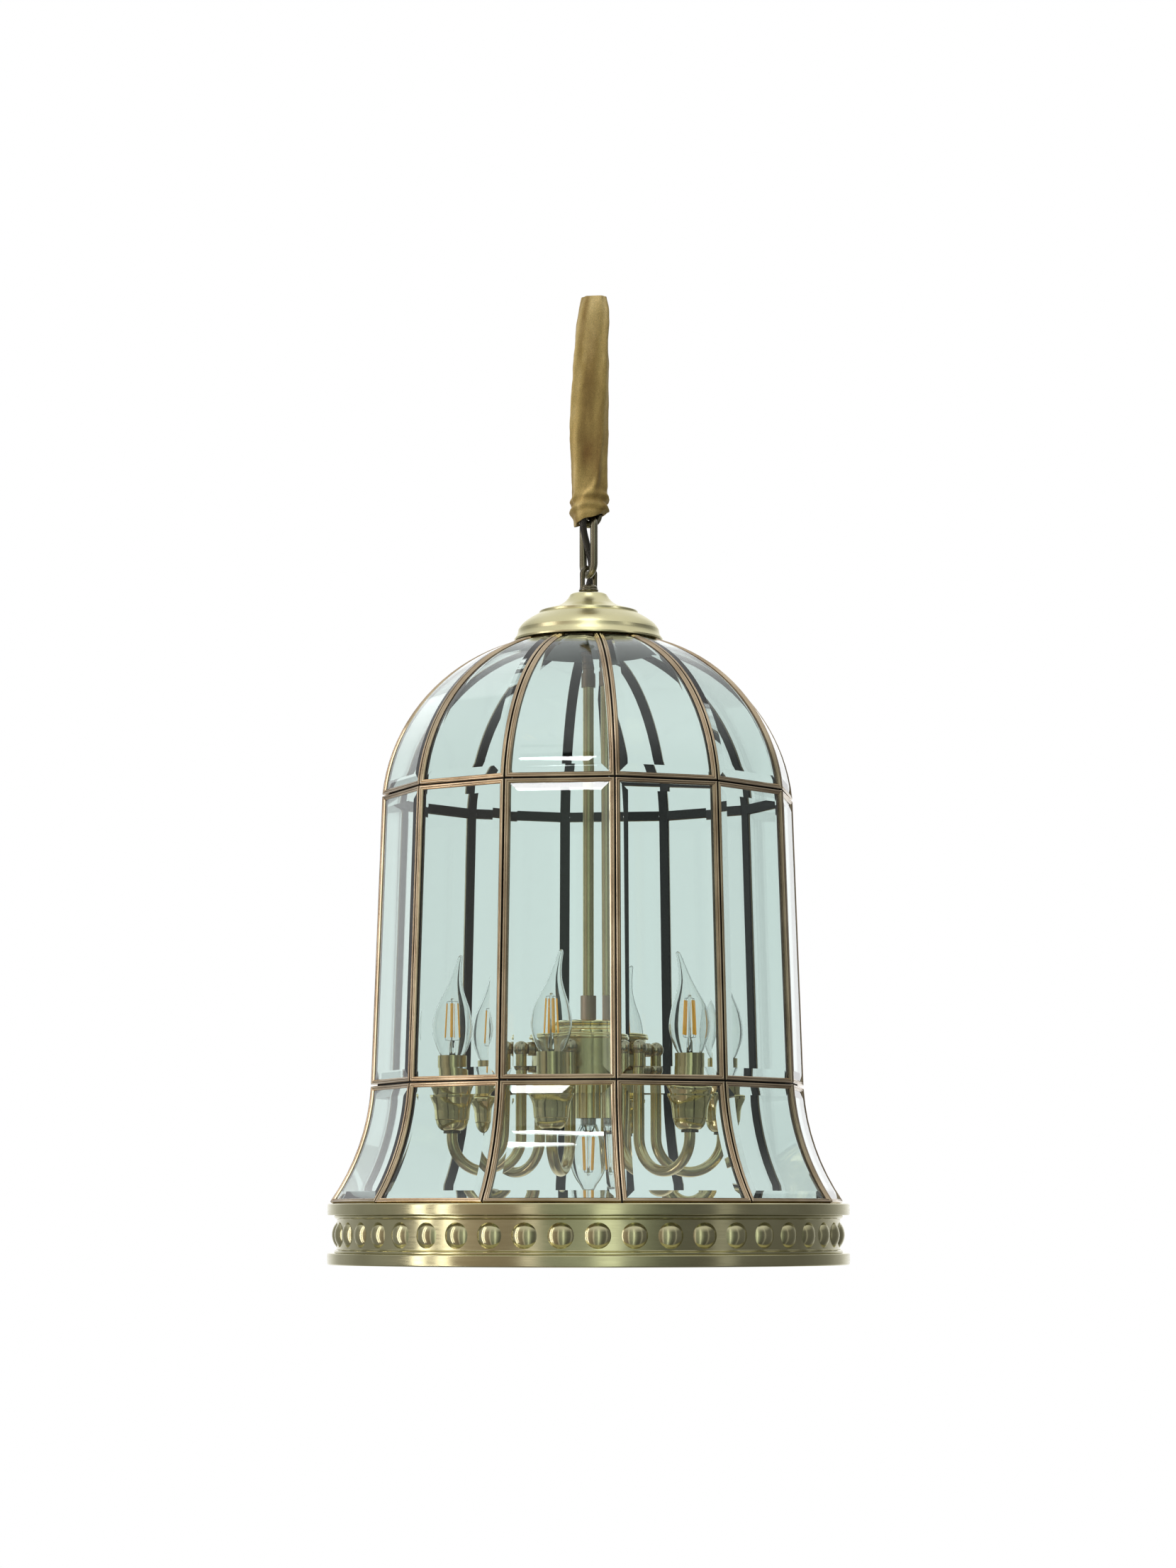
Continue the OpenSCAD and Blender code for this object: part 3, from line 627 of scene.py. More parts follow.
def add_boss_band():
    """Band with pressed bosses: one polar patch a boss, bent round the ring, between two beads."""
    band = Shape()
    cell = 2 * math.pi / BOSSES
    low, high = RIM_H + BEAD_H, RING_H - RIM_H - BEAD_H
    side = 8
    half = cell / 2 * BAND_R
    square = [(-half + 2 * half * k / side, low - BOSS_Z) for k in range(side)]
    square += [(half, low - BOSS_Z + (high - low) * k / side) for k in range(side)]
    square += [(half - 2 * half * k / side, high - BOSS_Z) for k in range(side)]
    square += [(-half, high - BOSS_Z - (high - low) * k / side) for k in range(side)]
    around = [math.atan2(y, x) for x, y in square]
    shares = (1.06, 1.0, 0.97, 0.9, 0.78, 0.62, 0.42, 0.2)
    flat = list(square)
    for share in shares:
        flat += [(share * BOSS_R * math.cos(a), share * BOSS_R * math.sin(a)) for a in around]
    flat.append((0, 0))
    count = len(square)
    faces = grid_faces(len(shares) + 1, count)
    last = len(shares) * count
    faces += [[last + k, last + (k + 1) % count, len(flat) - 1] for k in range(count)]
    points = []
    for x, y in flat:
        angle = x / BAND_R
        r = BAND_R + boss_height(math.hypot(x, y))
        points.append((r * math.cos(angle), r * math.sin(angle), BOSS_Z + y))
    for i in range(BOSSES):
        band.add(points, faces, turned(BOSS_TURN + i * 360 / BOSSES))
    bead = [
        (0, 0), (0.25, 0.35), (0.1, 0.7), (1.1, 1.0), (2.0, 1.7), (2.3, 2.6), (2.2, 3.4),
        (1.9, BEAD_H),
    ]
    for edge, sign in ((low, -1), (high, 1)):
        ring = []
        for out, rise in bead:
            for k in range(BOSSES * side):
                angle = 2 * math.pi * k / (BOSSES * side) + cell / 2
                r = BAND_R + out
                ring.append((r * math.cos(angle), r * math.sin(angle), edge + sign * rise))
        band.add(ring, grid_faces(len(bead), BOSSES * side), turned(BOSS_TURN))
    piece = band.piece("pressed_band", "lantern", ["boss_band"], "brass", [RING_BRASS], 30, 0.02)
    wall = piece.modifiers.new("sheet", "SOLIDIFY")
    wall.thickness = BAND_T * MM
    wall.offset = -1


def add_rims():
    top, bottom = Shape(), Shape()
    low = RING_H - RIM_H
    lathe(
        top,
        [
            (RING_R - 0.5, low), (RING_R - 0.1, low + 0.8), (RING_R, low + 4.8),
            (RING_R - 0.1, RING_H - 0.9), (RING_R - 0.8, RING_H), (RING_R - 18, RING_H),
            (RING_R - 18, RING_H - 1.8), (RING_R - 2.2, RING_H - 1.8), (RING_R - 2.2, low + 1.6),
            (BAND_R, low + 1.6), (BAND_R, low),
        ],
        steps=240,
    )
    lathe(
        bottom,
        [
            (RING_R - 0.5, RIM_H), (BAND_R, RIM_H), (BAND_R, RIM_H - 1.6),
            (RING_R - 2.2, RIM_H - 1.6), (RING_R - 2.2, 1.8), (RING_R - 12, 1.8), (RING_R - 12, 0),
            (RING_R - 1, 0), (RING_R - 0.15, 0.9), (RING_R, 4.8), (RING_R - 0.1, RIM_H - 0.8),
        ],
        steps=240,
    )
    top.piece("top_rim", "lantern", ["base_top_rim"], "brass", [RING_BRASS])
    bottom.piece("bottom_rim", "lantern", ["base_bottom_rim"], "brass", [RING_BRASS])


# ---------------------------------------------------------------- cap, loop and links
def add_cap():
    """Spun cap: a rolled lip, a skirt, a ledge and a concave neck, about 1.2 mm thick."""
    lip = curve_through([(64.6, 2.2), (63.2, 4.2), (62.2, 6.2), (61.8, 8.2)], 4)
    skirt = curve_through(
        [(61.6, 9.8), (60.2, 12.2), (57.2, 15.6), (52, 19.4), (46.5, 22.6), (44.2, 23.7)], 5
    )
    neck = curve_through(
        [(42.6, 26.3), (36, 28.2), (28, 30.6), (22.6, 33.4), (18.6, 37.2), (16, 41.2)], 5
    )
    outside = [Vector((65, 0)), Vector((65, 1.7))] + lip + skirt
    outside += [Vector((43.2, 24)), Vector((43.2, 26))] + neck + [Vector((14.6, CAP_H))]
    inside = [Vector((p[0] - 1.3, p[1] - 1.2)) for p in outside[1:]] + [Vector((63.7, 0))]
    hole = [Vector((5.2, CAP_H)), Vector((5.2, CAP_H)) - Vector((0, 1.2))]
    cap = Shape()
    lathe(cap, outside + hole + inside[-2::-1] + [inside[-1]], lifted(CAP_Z), 160, 0.3)
    cap.piece("spun_cap", "lantern", ["canopy_cap"], "brass", [CAP_BRASS], 24)


def add_loop():
    """Cast loop: a turned foot and an arch of swelling bar."""
    loop = Shape()
    lathe(
        loop,
        [
            (0, 0), (8, 0), (8.6, 0.8), (8.6, 1.8), (7.8, 2.6), (8, 3.4), (7.6, 4.6), (6.2, 6),
            (0, 6),
        ],
        lifted(LOOP_Z), 64, 0.4,
    )
    play = 1
    top = LINK_Z + LINK_WIRE + play + LOOP_BAR
    reach = LOOP_ARCH_R - LOOP_BAR / 2
    middle = top - LOOP_ARCH_R
    path = [(-reach, 0, LOOP_Z + 3 + k * (middle - LOOP_Z - 3) / 6) for k in range(6)]
    path += [
        (-reach * math.cos(math.pi * k / 18), 0, middle + reach * math.sin(math.pi * k / 18))
        for k in range(19)
    ]
    path += [(-p[0], 0, p[2]) for p in path[5::-1]]

    def bar(share):
        swell = 1 + 0.22 * math.exp(-(((abs(share - 0.5) - 0.22) / 0.09) ** 2))
        return [(LOOP_BAR / 2 * a, 2.6 * swell * b) for a, b in round_profile(1, 20)]

    place = turned(CHAIN_TURN) @ Matrix.Rotation(math.pi / 2, 4, "Z")
    sweep(loop, path, bar, place, side=(1, 0, 0.01))
    piece = loop.piece("cast_loop", "lantern", ["hanging_loop"], "bronze", [BRONZE], 40)
    # The cap's neck would mirror it as a dark spot
    piece.visible_glossy = False


def add_link():
    """Lowest link: an oval of wire rolled with four shallow grooves."""
    link = Shape()
    bend = LINK_W / 2 - LINK_WIRE / 2
    run = (LINK_LEN - LINK_W) / 2
    path = []
    for k in range(49):
        angle = math.pi * k / 48
        path.append((bend * math.cos(angle), 0, run + bend * math.sin(angle)))
    path = [(bend, 0, -run + 2 * run * k / 12) for k in range(12)] + path
    path += [(-p[0], 0, -p[2]) for p in path]
    profile = []
    groove_depth, groove_width, sides = 0.42, 0.2, 36
    for k in range(sides):
        angle = 2 * math.pi * k / sides
        groove = 0
        for centre in (0.25, 0.75, 1.25, 1.75):
            away = math.remainder(angle - centre * math.pi, 2 * math.pi)
            groove += math.exp(-((away / groove_width) ** 2))
        r = LINK_WIRE / 2 - groove_depth * groove
        profile.append((r * math.cos(angle), r * math.sin(angle)))
    place = turned(CHAIN_TURN) @ lifted(LINK_Z + LINK_LEN / 2)
    sweep(link, path, profile, place, closed=True, side=(0, 1, 0))
    link.piece("lowest_chain_link", "lowest_link", ["chain_link"], "chain", [CHAIN], 50, 0.01)


# ---------------------------------------------------------------- flex
# The flex's route, from the cap's grommet to the lowest link, and on up inside the sleeve
FLEX_LOW = [
    (-0.6, 11.9, 580), (-0.6, 11.9, 586), (-0.2, 11.6, 591), (1, 10.8, 596), (2.4, 9.8, 601),
    (2.9, 8.9, 606), (2.6, 7.6, 611), (1.5, 5.7, 617), (-0.2, 3.6, 623),
]
FLEX_UP = [
    (-0.3, 3.4, 623.5), (-1.6, 0.8, 629), (-3.2, -2.8, 635), (-4.5, -6.8, 641),
    (-4.8, -9.2, 645), (-4.8, -10.4, 650), (-4.2, -10.4, 658), (-3.2, -9.9, 670),
    (-2.9, -9.6, 690), (-2.9, -9.6, 710), (-2.9, -9.6, 730), (-2.9, -9.6, 744),
    (-1, -9.9, 752), (4.6, -8.8, 761), (8.2, -5.7, 769), (9.5, -2.9, 778),
    (9.5, -2.9, 800), (9.5, -2.9, 820), (9.5, -2.9, 838),
]


def add_flex(name, points, stands_for):
    """A length of flex swept along a smooth curve through the given points."""
    shape = Shape()
    path = curve_through(points, 4)
    sweep(shape, path, round_profile(FLEX_D / 2 - 0.1))
    piece = shape.piece(name, None, stands_for, "flex", [BRAID], 50)
    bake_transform(piece)


add_flex(
    "flex_lower_length", FLEX_LOW, ["flex_lower"],
)
add_flex(
    "flex_upper_length", FLEX_UP, ["flex_upper"],
)


# ---------------------------------------------------------------- sleeve
# Height, how far the section reaches to the left and to the right, and its half depth
SLEEVE = [
    (HEM_Z, -11.6, 12.4, 15.4), (651, -13.4, 14.4, 16.6), (657, -15.4, 16.6, 17),
    (664, -16, 17, 16.8),
    (670, -15.2, 16.8, 16.4), (677, -14.8, 16.4, 16.2), (690, -15, 15.6, 16), (708, -16, 16, 16),
    (726, -16.4, 16.4, 16), (745, -15.6, 17, 16), (765, -14.6, 17.4, 16), (785, -13.4, 17.8, 16),
    (805, -11.6, 18.2, 16), (824, -10, 18.6, 16), (838, -7.6, 18, 15), (848, -5, 16.4, 12.6),
]


def sleeve_point(ring, angle, along):
    """A point on the sleeve's outer face: an oval, long folds, and rolls gathered at the hem."""
    z, left, right, deep = ring
    squareness = 0.66
    c, s = math.cos(angle), math.sin(angle)
    x = (left + right) / 2 + (right - left) / 2 * math.copysign(abs(c) ** squareness, c)
    y = deep * math.copysign(abs(s) ** squareness, s)
    folds = 0.8 * math.sin(3 * angle + 5 * along) + 0.5 * math.sin(7 * angle - 9 * along + 1)
    crease = math.remainder(angle + 1.57 - 2.6 * (along - 0.27), 2 * math.pi)
    folds += 2.0 * math.exp(-((crease / 0.16) ** 2)) * math.exp(-(((along - 0.3) / 0.16) ** 2))
    slanted = z - 3.2 * math.sin(angle + 2.2)
    gather = math.exp(-(((slanted - GATHER_Z) / 9) ** 2))
    slip = noise.noise(Vector((2 * c, 2 * s, z * 0.03)))
    phase = (slanted - HEM_Z + 1) * 0.62 + 1.3 * math.sin(angle + 0.6) + 2.6 * slip
    rolls = (1.7 + slip) * math.sin(phase) * gather
    crush = 0.9 * noise.noise(Vector((x * 0.07, y * 0.07, z * 0.045)))
    crush += 0.35 * noise.noise(Vector((x * 0.2, y * 0.2, z * 0.16)))
    out = folds * (1 - 0.7 * gather) + rolls + crush
    length = math.hypot(x, y)
    hem = (1 - min(max((z - HEM_Z) / 12, 0), 1)) * (3.5 + 5 * c)
    return Vector((x, y, z + hem)) + Vector((x, y, 0)) / length * out


def pile_shading_at(angle, along):
    """Painted light and shade on the pile: 0 darkest, 0.5 plain, 1 a painted highlight on the
    raised crease.
    """
    # Painted highlight along the raised crease of the shape
    crease = math.remainder(angle + 1.62 - 2.9 * (along - 0.30), 2 * math.pi)
    pale = math.exp(-((crease / 0.07) ** 2)) * math.exp(-(((along - 0.30) / 0.085) ** 4))
    # A darker patch higher up the sleeve
    patch = math.remainder(angle + 1.62 - 1.5 * (along - 0.46), 2 * math.pi)
    dark = math.exp(-((patch / 0.22) ** 2)) * math.exp(-(((along - 0.46) / 0.05) ** 2))
    # Painted highlight on the fold crests and painted shade in their hollows, in step with the
    # shape's folds
    folds = 0.16 * math.sin(3 * angle + 5 * along) + 0.1 * math.sin(8 * angle - 11 * along)
    return min(max(0.5 + 0.5 * pale - 0.42 * dark + folds, 0), 1)


def add_sleeve():
    rings = curve_through(SLEEVE, 9)
    columns = 180
    spots = []
    for i, ring in enumerate(rings):
        along = i / (len(rings) - 1)
        spots += [(ring, 2 * math.pi * k / columns, along) for k in range(columns)]
    shape = Shape()
    shape.add([sleeve_point(*spot) for spot in spots], grid_faces(len(rings), columns))
    piece = shape.piece(
        "gathered_sleeve", "upper_chain", ["velvet_sleeve"], "velvet", [VELVET], 80
    )
    # Each point holds the painted light and shade of the pile
    pile_shading_values = piece.data.attributes.new("crush", "FLOAT", "POINT")
    for (_, angle, along), entry in zip(spots, pile_shading_values.data):
        entry.value = pile_shading_at(angle, along)
    cloth = piece.modifiers.new("cloth", "SOLIDIFY")
    cloth.thickness = 0.9 * MM
    cloth.offset = -1


# ---------------------------------------------------------------- candle cluster
def add_cups():
    cups, rings = Shape(), Shape()
    bowl = curve_through([(9.4, 0.6), (11.6, 2.6), (13.2, 5.6), (14.2, 9.2)], 5)
    bell = curve_through(
        [(14.7, 10.6), (15.1, 15), (15.5, 19), (16.4, 23), (17.8, 26.2), (19, 28.4)], 5
    )
    outside = [(3.2, 0), (8, 0)] + bowl + [(14.6, 9.6)] + bell + [(19.2, 30.2), (18.6, CUP_H)]
    inside = [(15.2, CUP_H), (14.4, 28), (13.8, 18), (12, 8), (9, 3), (3.2, 2)]
    pan = curve_through([(15.3, 0.6), (15.7, 2), (16.8, 3.8), (18.2, 5.2), (19, 6.6)], 5)
    drip = [(12.6, 0), (14.8, 0)] + pan
    drip += [(18.8, 7.5), (18, 7.5), (16, 5.2), (14.4, 4.7), (12.6, 4.7)]
    for azimuth in ARMS:
        lathe(cups, outside + inside, placed(azimuth, CANDLE_CIRCLE, CUP_Z), 72)
        lathe(rings, drip, placed(azimuth, CANDLE_CIRCLE, CUP_Z + CUP_H), 72)
    cups.piece("spun_cups", "lantern", ["candle_cups"], "cup_brass", [CUP_BRASS], 26)
    rings.piece("drip_pans", "lantern", ["drip_rings"], "cup_brass", [CUP_BRASS], 26)


def add_hub():
    hub, lid = Shape(), Shape()
    crown = [
        (3.2, 5), (33, 5), (33.4, 6), (33, 8.2), (30.6, 9.2), (29.6, 11), (29.8, 12.6), (31, 13.2),
        (31.2, 15),
    ]
    cone = curve_through([(27, 16.6), (20, 17.2), (12, 17.7), (7, 18)], 4)
    flange = [
        (3.2, 0), (50.6, 0), (51.5, 0.9), (51.5, 2.2), (50.6, 3), (51, 3.6), (50.6, 4.4),
        (49.6, 5), (3.2, 5),
    ]
    lathe(hub, crown + cone + [(3.2, 18)], lifted(HUB_Z), 96)
    lathe(lid, flange, lifted(HUB_Z), 128)
    hub.piece("stepped_crown", "lantern", ["hub_crown"], "cluster_brass", [CUP_BRASS], 26)
    lid.piece("flanged_lid", "lantern", ["hub_lid"], "cluster_brass", [CUP_BRASS], 26)


def add_coupler():
    """Stem coupler: a knurled collar over a plain body."""
    coupler = Shape()
    teeth, knurl_depth = 36, 0.35
    steps = 4 * teeth
    outline = rounded([(5, 530.4), (6.6, 530.4), (6.6, 533.8), (5, 533.8)], 0.4)
    points = []
    for r, z in outline:
        for k in range(steps):
            deep = knurl_depth if r > 6.2 and k % 4 in (0, 3) else 0
            angle = 2 * math.pi * k / steps
            points.append(((r - deep) * math.cos(angle), (r - deep) * math.sin(angle), z))
    coupler.add(points, grid_faces(len(outline), steps, True))
    lathe(
        coupler,
        [
            (3.2, 514.4), (5, 514.4), (5, 518.2), (5.7, 518.2), (5.7, 522.6), (5.4, 523),
            (5.4, 523.6), (5.7, 524), (5.7, 530.6), (5.05, 530.6), (5.05, 521.8), (3.2, 521.8),
        ],
        None, 64, 0.3,
    )
    coupler.piece("knurled_coupler", "lantern", ["stem_coupler"], "copper_bronze", [COPPER], 30)


# ---------------------------------------------------------------- bulbs
# Radius and height above the seat along the two kinds of envelope
FLAME = [
    (7.4, 24), (7.6, 32), (8.6, 38), (10.2, 41.5), (12.2, 45), (14, 49.5), (16.3, 56), (17.5, 63),
    (17.1, 70), (16, 76), (14.4, 82), (11.6, 88.5), (8.8, 95), (6, 103), (4.2, 111), (3, 119),
    (2.4, 124), (1.5, 126.8), (0.3, 127.5),
]
CANDLE = [
    (7.4, 24), (8.6, 28), (11.6, 33), (14.8, 38), (16.8, 43), (17.5, 49), (16.6, 57), (14.2, 65),
    (10.8, 72), (6.8, 77.6), (3.4, 80.6), (0.5, 81.5),
]
GLASS_WALL = 0.7
LEAN_FROM = 74


def lean(z, tip, reach):
    """How far the flame's tip has leant over at a height above the seat."""
    share = min(max((z - LEAN_FROM) / (tip - LEAN_FROM), 0), 1)
    return reach * share**1.7


def envelope(shape, outline, place, reach, steps=48):
    """Blown envelope: a thin closed wall, open only into the cap, its tip leaning over."""
    outer = curve_through(outline, 4)
    inner = [Vector((max(p[0] - GLASS_WALL, 0.05), min(p[1], outer[-1][1] - 1.6))) for p in outer]
    tip = outline[-1][1]
    points = []
    for r, z in outer + inner[::-1]:
        for k in range(steps):
            angle = 2 * math.pi * k / steps
            points.append((r * math.cos(angle) + lean(z, tip, reach), r * math.sin(angle), z))
    shape.add(points, grid_faces(2 * len(outer), steps, True), place)


def innards(shape, place, top, turn):
    """Glass stem, support wires and four coated filaments that lean in towards the top."""
    foot, head = top - 31, top - 2
    stem = [
        (0.02, 24), (6.4, 24), (5, 28), (3, 33), (2.4, foot - 6), (1.3, foot - 2), (1.2, top - 1),
        (1.7, top + 0.6), (1.2, top + 2.4), (0.02, top + 2.8),
    ]
    lathe(shape, stem, place, 24, 0.5, 0)
    low, high = Vector((6.2, 0, foot)), Vector((4.7, 0, head))
    filament = [low + (high - low) * t for t in (0, 0.5, 1)]
    upper_wire = [high, high + Vector((0, 0, 1.6)), (1.4, 0, top)]
    lower_wire = [low, low - Vector((0, 0, 2)), (1.6, 0, foot - 2.6), (2.2, 0, foot - 9)]
    strip = [(1.2 * a, 0.65 * b) for a, b in round_profile(1, 10)]
    wire = round_profile(0.22, 6)
    for k in range(4):
        spin = place @ turned(turn + 90 * k)
        sweep(shape, filament, strip, spin, 1, side=(0, 1, 0))
        sweep(shape, upper_wire, wire, spin, 2)
        sweep(shape, lower_wire, wire, spin, 2)


def screw_cap(shape, place):
    """Small screw cap: contact, insulator and four turns of rolled thread."""
    thread = []
    for k in range(41):
        thread.append((6.25 + 0.45 * math.cos(2 * math.pi * k / 8), 5.2 + k * 0.34))
    outline = [(0.02, 0), (2.4, 0), (2.6, 0.8), (4.4, 2.2), (5.4, 3), (5.8, 4)] + thread
    lathe(shape, outline + [(6.7, 19.6), (6.7, 24.4), (0.02, 24.4)], place, 40, 0.25)


def add_bulb(name, outline, place, top, reach, turn):
    blown, inside, cap = Shape(), Shape(), Shape()
    envelope(blown, outline, place, reach)
    innards(inside, place, top, turn)
    screw_cap(cap, place)
    glass_node, base_node = name + "_glass", name + "_base"
    clear = blown.piece(name + "_envelope", name, [glass_node], "bulb_glass", [BULB_GLASS], 60)
    works = inside.piece(
        name + "_filaments", name, [base_node], "bulb_metal", [BULB_GLASS, PHOSPHOR_AND_GLOW, WIRE], 40
    )
    cap.piece(name + "_screw_cap", name, [base_node], "bulb_metal", [NICKEL], 40)
    clear.visible_shadow = False
    works.visible_shadow = False


def add_bulbs():
    # Each tip leans its own way: degrees round from its arm's azimuth, and how far
    leans = [(105, 8.5), (-135, 10), (60, 8), (-100, 7.5), (150, 9), (165, 7)]
    for i, (azimuth, (aim, reach)) in enumerate(zip(ARMS, leans)):
        seat = placed(azimuth, CANDLE_CIRCLE, BULB_SEAT_Z)
        place = seat @ Matrix.Rotation(math.radians(aim), 4, "Z")
        add_bulb(f"bulb_{i + 1}", FLAME, place, 88, reach, 20 + 13 * i)
    down = lifted(DOWN_SEAT_Z) @ Matrix.Rotation(math.pi, 4, "X")
    add_bulb("down_bulb", CANDLE, down, 66, 0, 40)


add_shade()
add_boss_band()
add_rims()
add_cap()
add_loop()
add_link()
add_sleeve()
add_cups()
add_hub()
add_coupler()
add_bulbs()


# ---------------------------------------------------------------- studio
def unbounced(tree, most):
    """1 for a ray that has only passed through glass since the camera, otherwise 0."""
    path = add(tree, "ShaderNodeLightPath")
    spare = add(tree, "ShaderNodeMath", operation="SUBTRACT")
    tree.links.new(path.outputs["Ray Depth"], spare.inputs[0])
    tree.links.new(path.outputs["Transmission Depth"], spare.inputs[1])
    test = add(tree, "ShaderNodeMath", operation="LESS_THAN")
    tree.links.new(spare.outputs["Value"], test.inputs[0])
    test.inputs[1].default_value = most
    return test.outputs["Value"]


# Azimuth, tone and tint of the room that the metal mirrors, from the back round by the left
WARM, ROSE, PLAIN, COOL = (1, 0.94, 0.93), (1, 0.84, 0.74), (1, 1, 1), (0.95, 1.03, 0.94)
ROOM = [
    (-180, 1.3, PLAIN), (-160, 1.0, PLAIN), (-145, 0.5, PLAIN), (-120, 0.3, PLAIN),
    (-98, 0.34, PLAIN), (-86, 0.3, WARM), (-56, 0.46, ROSE), (-40, 0.34, ROSE), (-30, 0.32, ROSE),
    (-28, 1.0, WARM), (-23, 1.0, WARM), (-21, 0.34, COOL), (-10, 0.4, COOL), (2, 0.46, COOL),
    (4, 1.2, COOL), (13, 1.2, COOL), (15, 0.46, COOL), (24, 0.34, COOL), (31, 0.18, COOL),
    (48, 0.15, PLAIN), (56, 0.18, PLAIN),
    (59, 0.45, PLAIN), (65, 0.45, PLAIN), (68, 0.18, PLAIN), (110, 0.17, PLAIN), (128, 0.25, PLAIN),
    (145, 0.55, PLAIN), (160, 1.0, PLAIN), (180, 1.3, PLAIN),
]


def add_world():
    """White to the camera, straight or through glass, and the room's tones to anything else."""
    world = bpy.data.worlds.new("studio")
    scene.world = world
    world.use_nodes = True
    world.cycles.sampling_method = "NONE"
    tree = world.node_tree
    tree.nodes.clear()
    coords = add(tree, "ShaderNodeTexCoord")
    split = add(tree, "ShaderNodeSeparateXYZ")
    tree.links.new(coords.outputs["Generated"], split.inputs["Vector"])
    front = add(tree, "ShaderNodeMath", operation="MULTIPLY")
    tree.links.new(split.outputs["Y"], front.inputs[0])
    front.inputs[1].default_value = -1
    around = add(tree, "ShaderNodeMath", operation="ARCTAN2")
    tree.links.new(split.outputs["X"], around.inputs[0])
    tree.links.new(front.outputs["Value"], around.inputs[1])
    share = add(tree, "ShaderNodeMapRange")
    share.inputs["From Min"].default_value = -math.pi
    share.inputs["From Max"].default_value = math.pi
    tree.links.new(around.outputs["Value"], share.inputs["Value"])
    stops = []
    for azimuth, tone, tint in ROOM:
        stops.append(((azimuth + 180) / 360, tuple(tone * c for c in tint)))
    walls = ramp(tree, share.outputs["Result"], stops)
    height = add(tree, "ShaderNodeMapRange")
    height.inputs["From Min"].default_value = -1
    tree.links.new(split.outputs["Z"], height.inputs["Value"])
    rise = ramp(tree, height.outputs["Result"], [(0.0, (0.5,)), (0.25, (0.8,)), (0.5, (1.0,))])
    overhead = ramp(tree, height.outputs["Result"], [(0.68, (0.0,)), (0.86, (1.0,))])
    pale = add(tree, "ShaderNodeMix", data_type="RGBA")
    pale.inputs["B"].default_value = (0.8, 0.8, 0.8, 1)
    tree.links.new(overhead, pale.inputs["Factor"])
    tree.links.new(multiplied(tree, walls, rise), pale.inputs["A"])
    dim = add(tree, "ShaderNodeBackground", Strength=1.0)
    tree.links.new(pale.outputs["Result"], dim.inputs["Color"])
    white = add(tree, "ShaderNodeBackground", Strength=1.0)
    white.inputs["Color"].default_value = (1, 1, 1, 1)
    mix = add(tree, "ShaderNodeMixShader")
    tree.links.new(unbounced(tree, 1.5), mix.inputs["Fac"])
    tree.links.new(dim.outputs["Background"], mix.inputs[1])
    tree.links.new(white.outputs["Background"], mix.inputs[2])
    out = add(tree, "ShaderNodeOutputWorld")
    tree.links.new(mix.outputs["Shader"], out.inputs["Surface"])


def add_floor():
    """Pale floor well below the lantern, as white as the studio's wall."""
    reach, drop = 9000, -900
    corners = [(-reach, -reach), (reach, -reach), (reach, reach), (-reach, reach)]
    mesh = bpy.data.meshes.new("pale_floor")
    mesh.from_pydata([row_point((x, y, drop)) for x, y in corners], [], [[0, 1, 2, 3]])
    material, tree, shader = new_material("pale_floor")
    shader.inputs["Base Color"].default_value = (0.2, 0.2, 0.19, 1)
    shader.inputs["Roughness"].default_value = 0.9
    glow = add(tree, "ShaderNodeEmission", Strength=1.0)
    mix = add(tree, "ShaderNodeMixShader")
    tree.links.new(unbounced(tree, 0.5), mix.inputs["Fac"])
    tree.links.new(shader.outputs["BSDF"], mix.inputs[1])
    tree.links.new(glow.outputs["Emission"], mix.inputs[2])
    tree.links.new(mix.outputs["Shader"], tree.nodes["Material Output"].inputs["Surface"])
    mesh.materials.append(material)
    floor = bpy.data.objects.new("pale_floor", mesh)
    scene.collection.objects.link(floor)
    floor.visible_glossy = False


SHADE_MIDDLE = Vector((0, 0, up(250)))
CARD_DISTANCE = 9.0
CARD_GLOW = 22.0


def soft_box(
    name, azimuth, elevation, distance, width, height, radiance,
    colour=(1, 1, 1), only=(), spare=(),
):
    """An area light aimed at the shade, which may light only some pieces or spare some."""
    light = bpy.data.lights.new(name, "AREA")
    light.shape = "RECTANGLE"
    light.size = width
    light.size_y = height
    light.energy = radiance * math.pi * width * height
    light.color = colour
    lamp = bpy.data.objects.new(name, light)
    scene.collection.objects.link(lamp)
    away = direction(azimuth, elevation)
    lamp.location = SHADE_MIDDLE + distance * away
    lamp.rotation_euler = away.to_track_quat("Z", "Y").to_euler()
    lamp.visible_camera = False
    shine_on(lamp, only, "INCLUDE")
    shine_on(lamp, spare, "EXCLUDE")


def shine_on(lamp, pieces, state):
    """Lets a lamp light only these pieces, or spares them."""
    if not pieces:
        return
    group = bpy.data.collections.new(lamp.name + "_lit")
    for piece in pieces:
        group.objects.link(bpy.data.objects[piece])
    for entry in group.collection_objects:
        entry.light_linking.link_state = state
    lamp.light_linking.receiver_collection = group


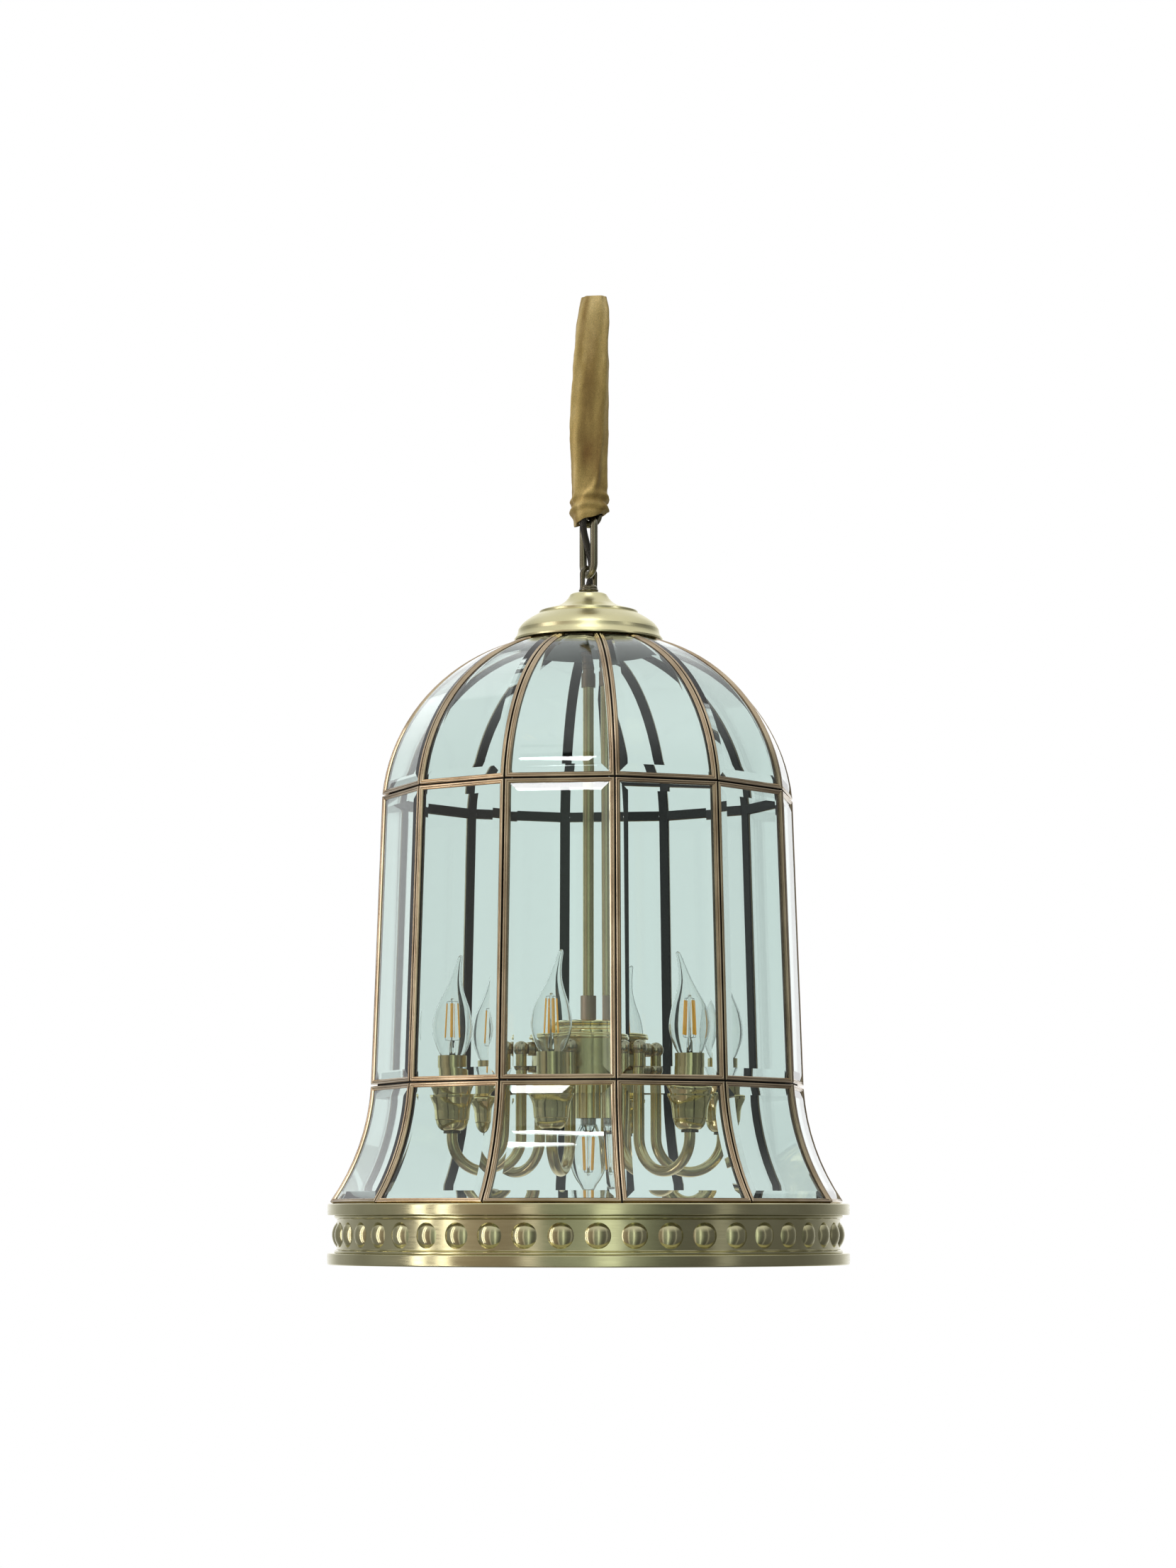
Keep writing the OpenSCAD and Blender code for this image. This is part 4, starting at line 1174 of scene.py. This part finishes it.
def glint(name, azimuth, elevation, left, right, only):
    """A far card that some panes mirror. Each end is a sideways, a lower and an upper offset."""
    away = direction(azimuth, elevation)
    middle = SHADE_MIDDLE + CARD_DISTANCE * away
    side = Vector((0, 0, 1)).cross(away).normalized()
    rise = away.cross(side)
    corners = [(left[0], left[1]), (right[0], right[1]), (right[0], right[2]), (left[0], left[2])]
    mesh = bpy.data.meshes.new(name)
    mesh.from_pydata([middle + side * x + rise * y for x, y in corners], [], [[0, 1, 2, 3]])
    material, tree, _ = new_material(name)
    glow = add(tree, "ShaderNodeEmission", Strength=CARD_GLOW)
    tree.links.new(glow.outputs["Emission"], tree.nodes["Material Output"].inputs["Surface"])
    mesh.materials.append(material)
    card = bpy.data.objects.new(name, mesh)
    scene.collection.objects.link(card)
    card.visible_camera = False
    card.visible_diffuse = False
    card.visible_shadow = False
    shine_on(card, only, "INCLUDE")


PANES = ["dome_panes", "straight_panes", "flare_panes"]
add_world()
add_floor()
soft_box("left_far", -76, 0, 2.6, 0.30, 4.0, 3.2, (1, 0.96, 0.97), spare=PANES)
soft_box("left_near", -63.3, 0, 2.6, 0.27, 4.0, 2.8, (1, 0.96, 0.97), spare=PANES)
soft_box("pane_left", -136, 15, 3.0, 2.2, 5.0, 0.55, only=PANES)
soft_box("cap_high", 0, 52, 2.4, 0.9, 2.4, 1.8, only=["spun_cap"])
soft_box("cap_right", 66, 20, 2.4, 0.35, 0.6, 3.0, only=["spun_cap"])
soft_box("sleeve_front", -14, 24, 2.6, 1.0, 1.2, 2.1, only=["gathered_sleeve"])
glint("dome_glint", -17.7, 28.5, (-0.13, -0.03, 0.06), (0.16, -0.18, 0.24), ["dome_panes"])
glint("straight_glint", -17.65, 30.3, (-0.2, -0.12, 0.12), (0.2, -0.12, 0.12), ["straight_panes"])
glint("flare_upper_glint", -17.9, 30.5, (-0.11, 0.0, 0.16), (0.18, -0.2, 0.4), ["flare_panes"])
glint("flare_lower_glint", -18.6, 36.7, (-0.16, -0.22, 0.22), (0.07, -0.06, 0.06), ["flare_panes"])

scene.view_settings.view_transform = "Standard"
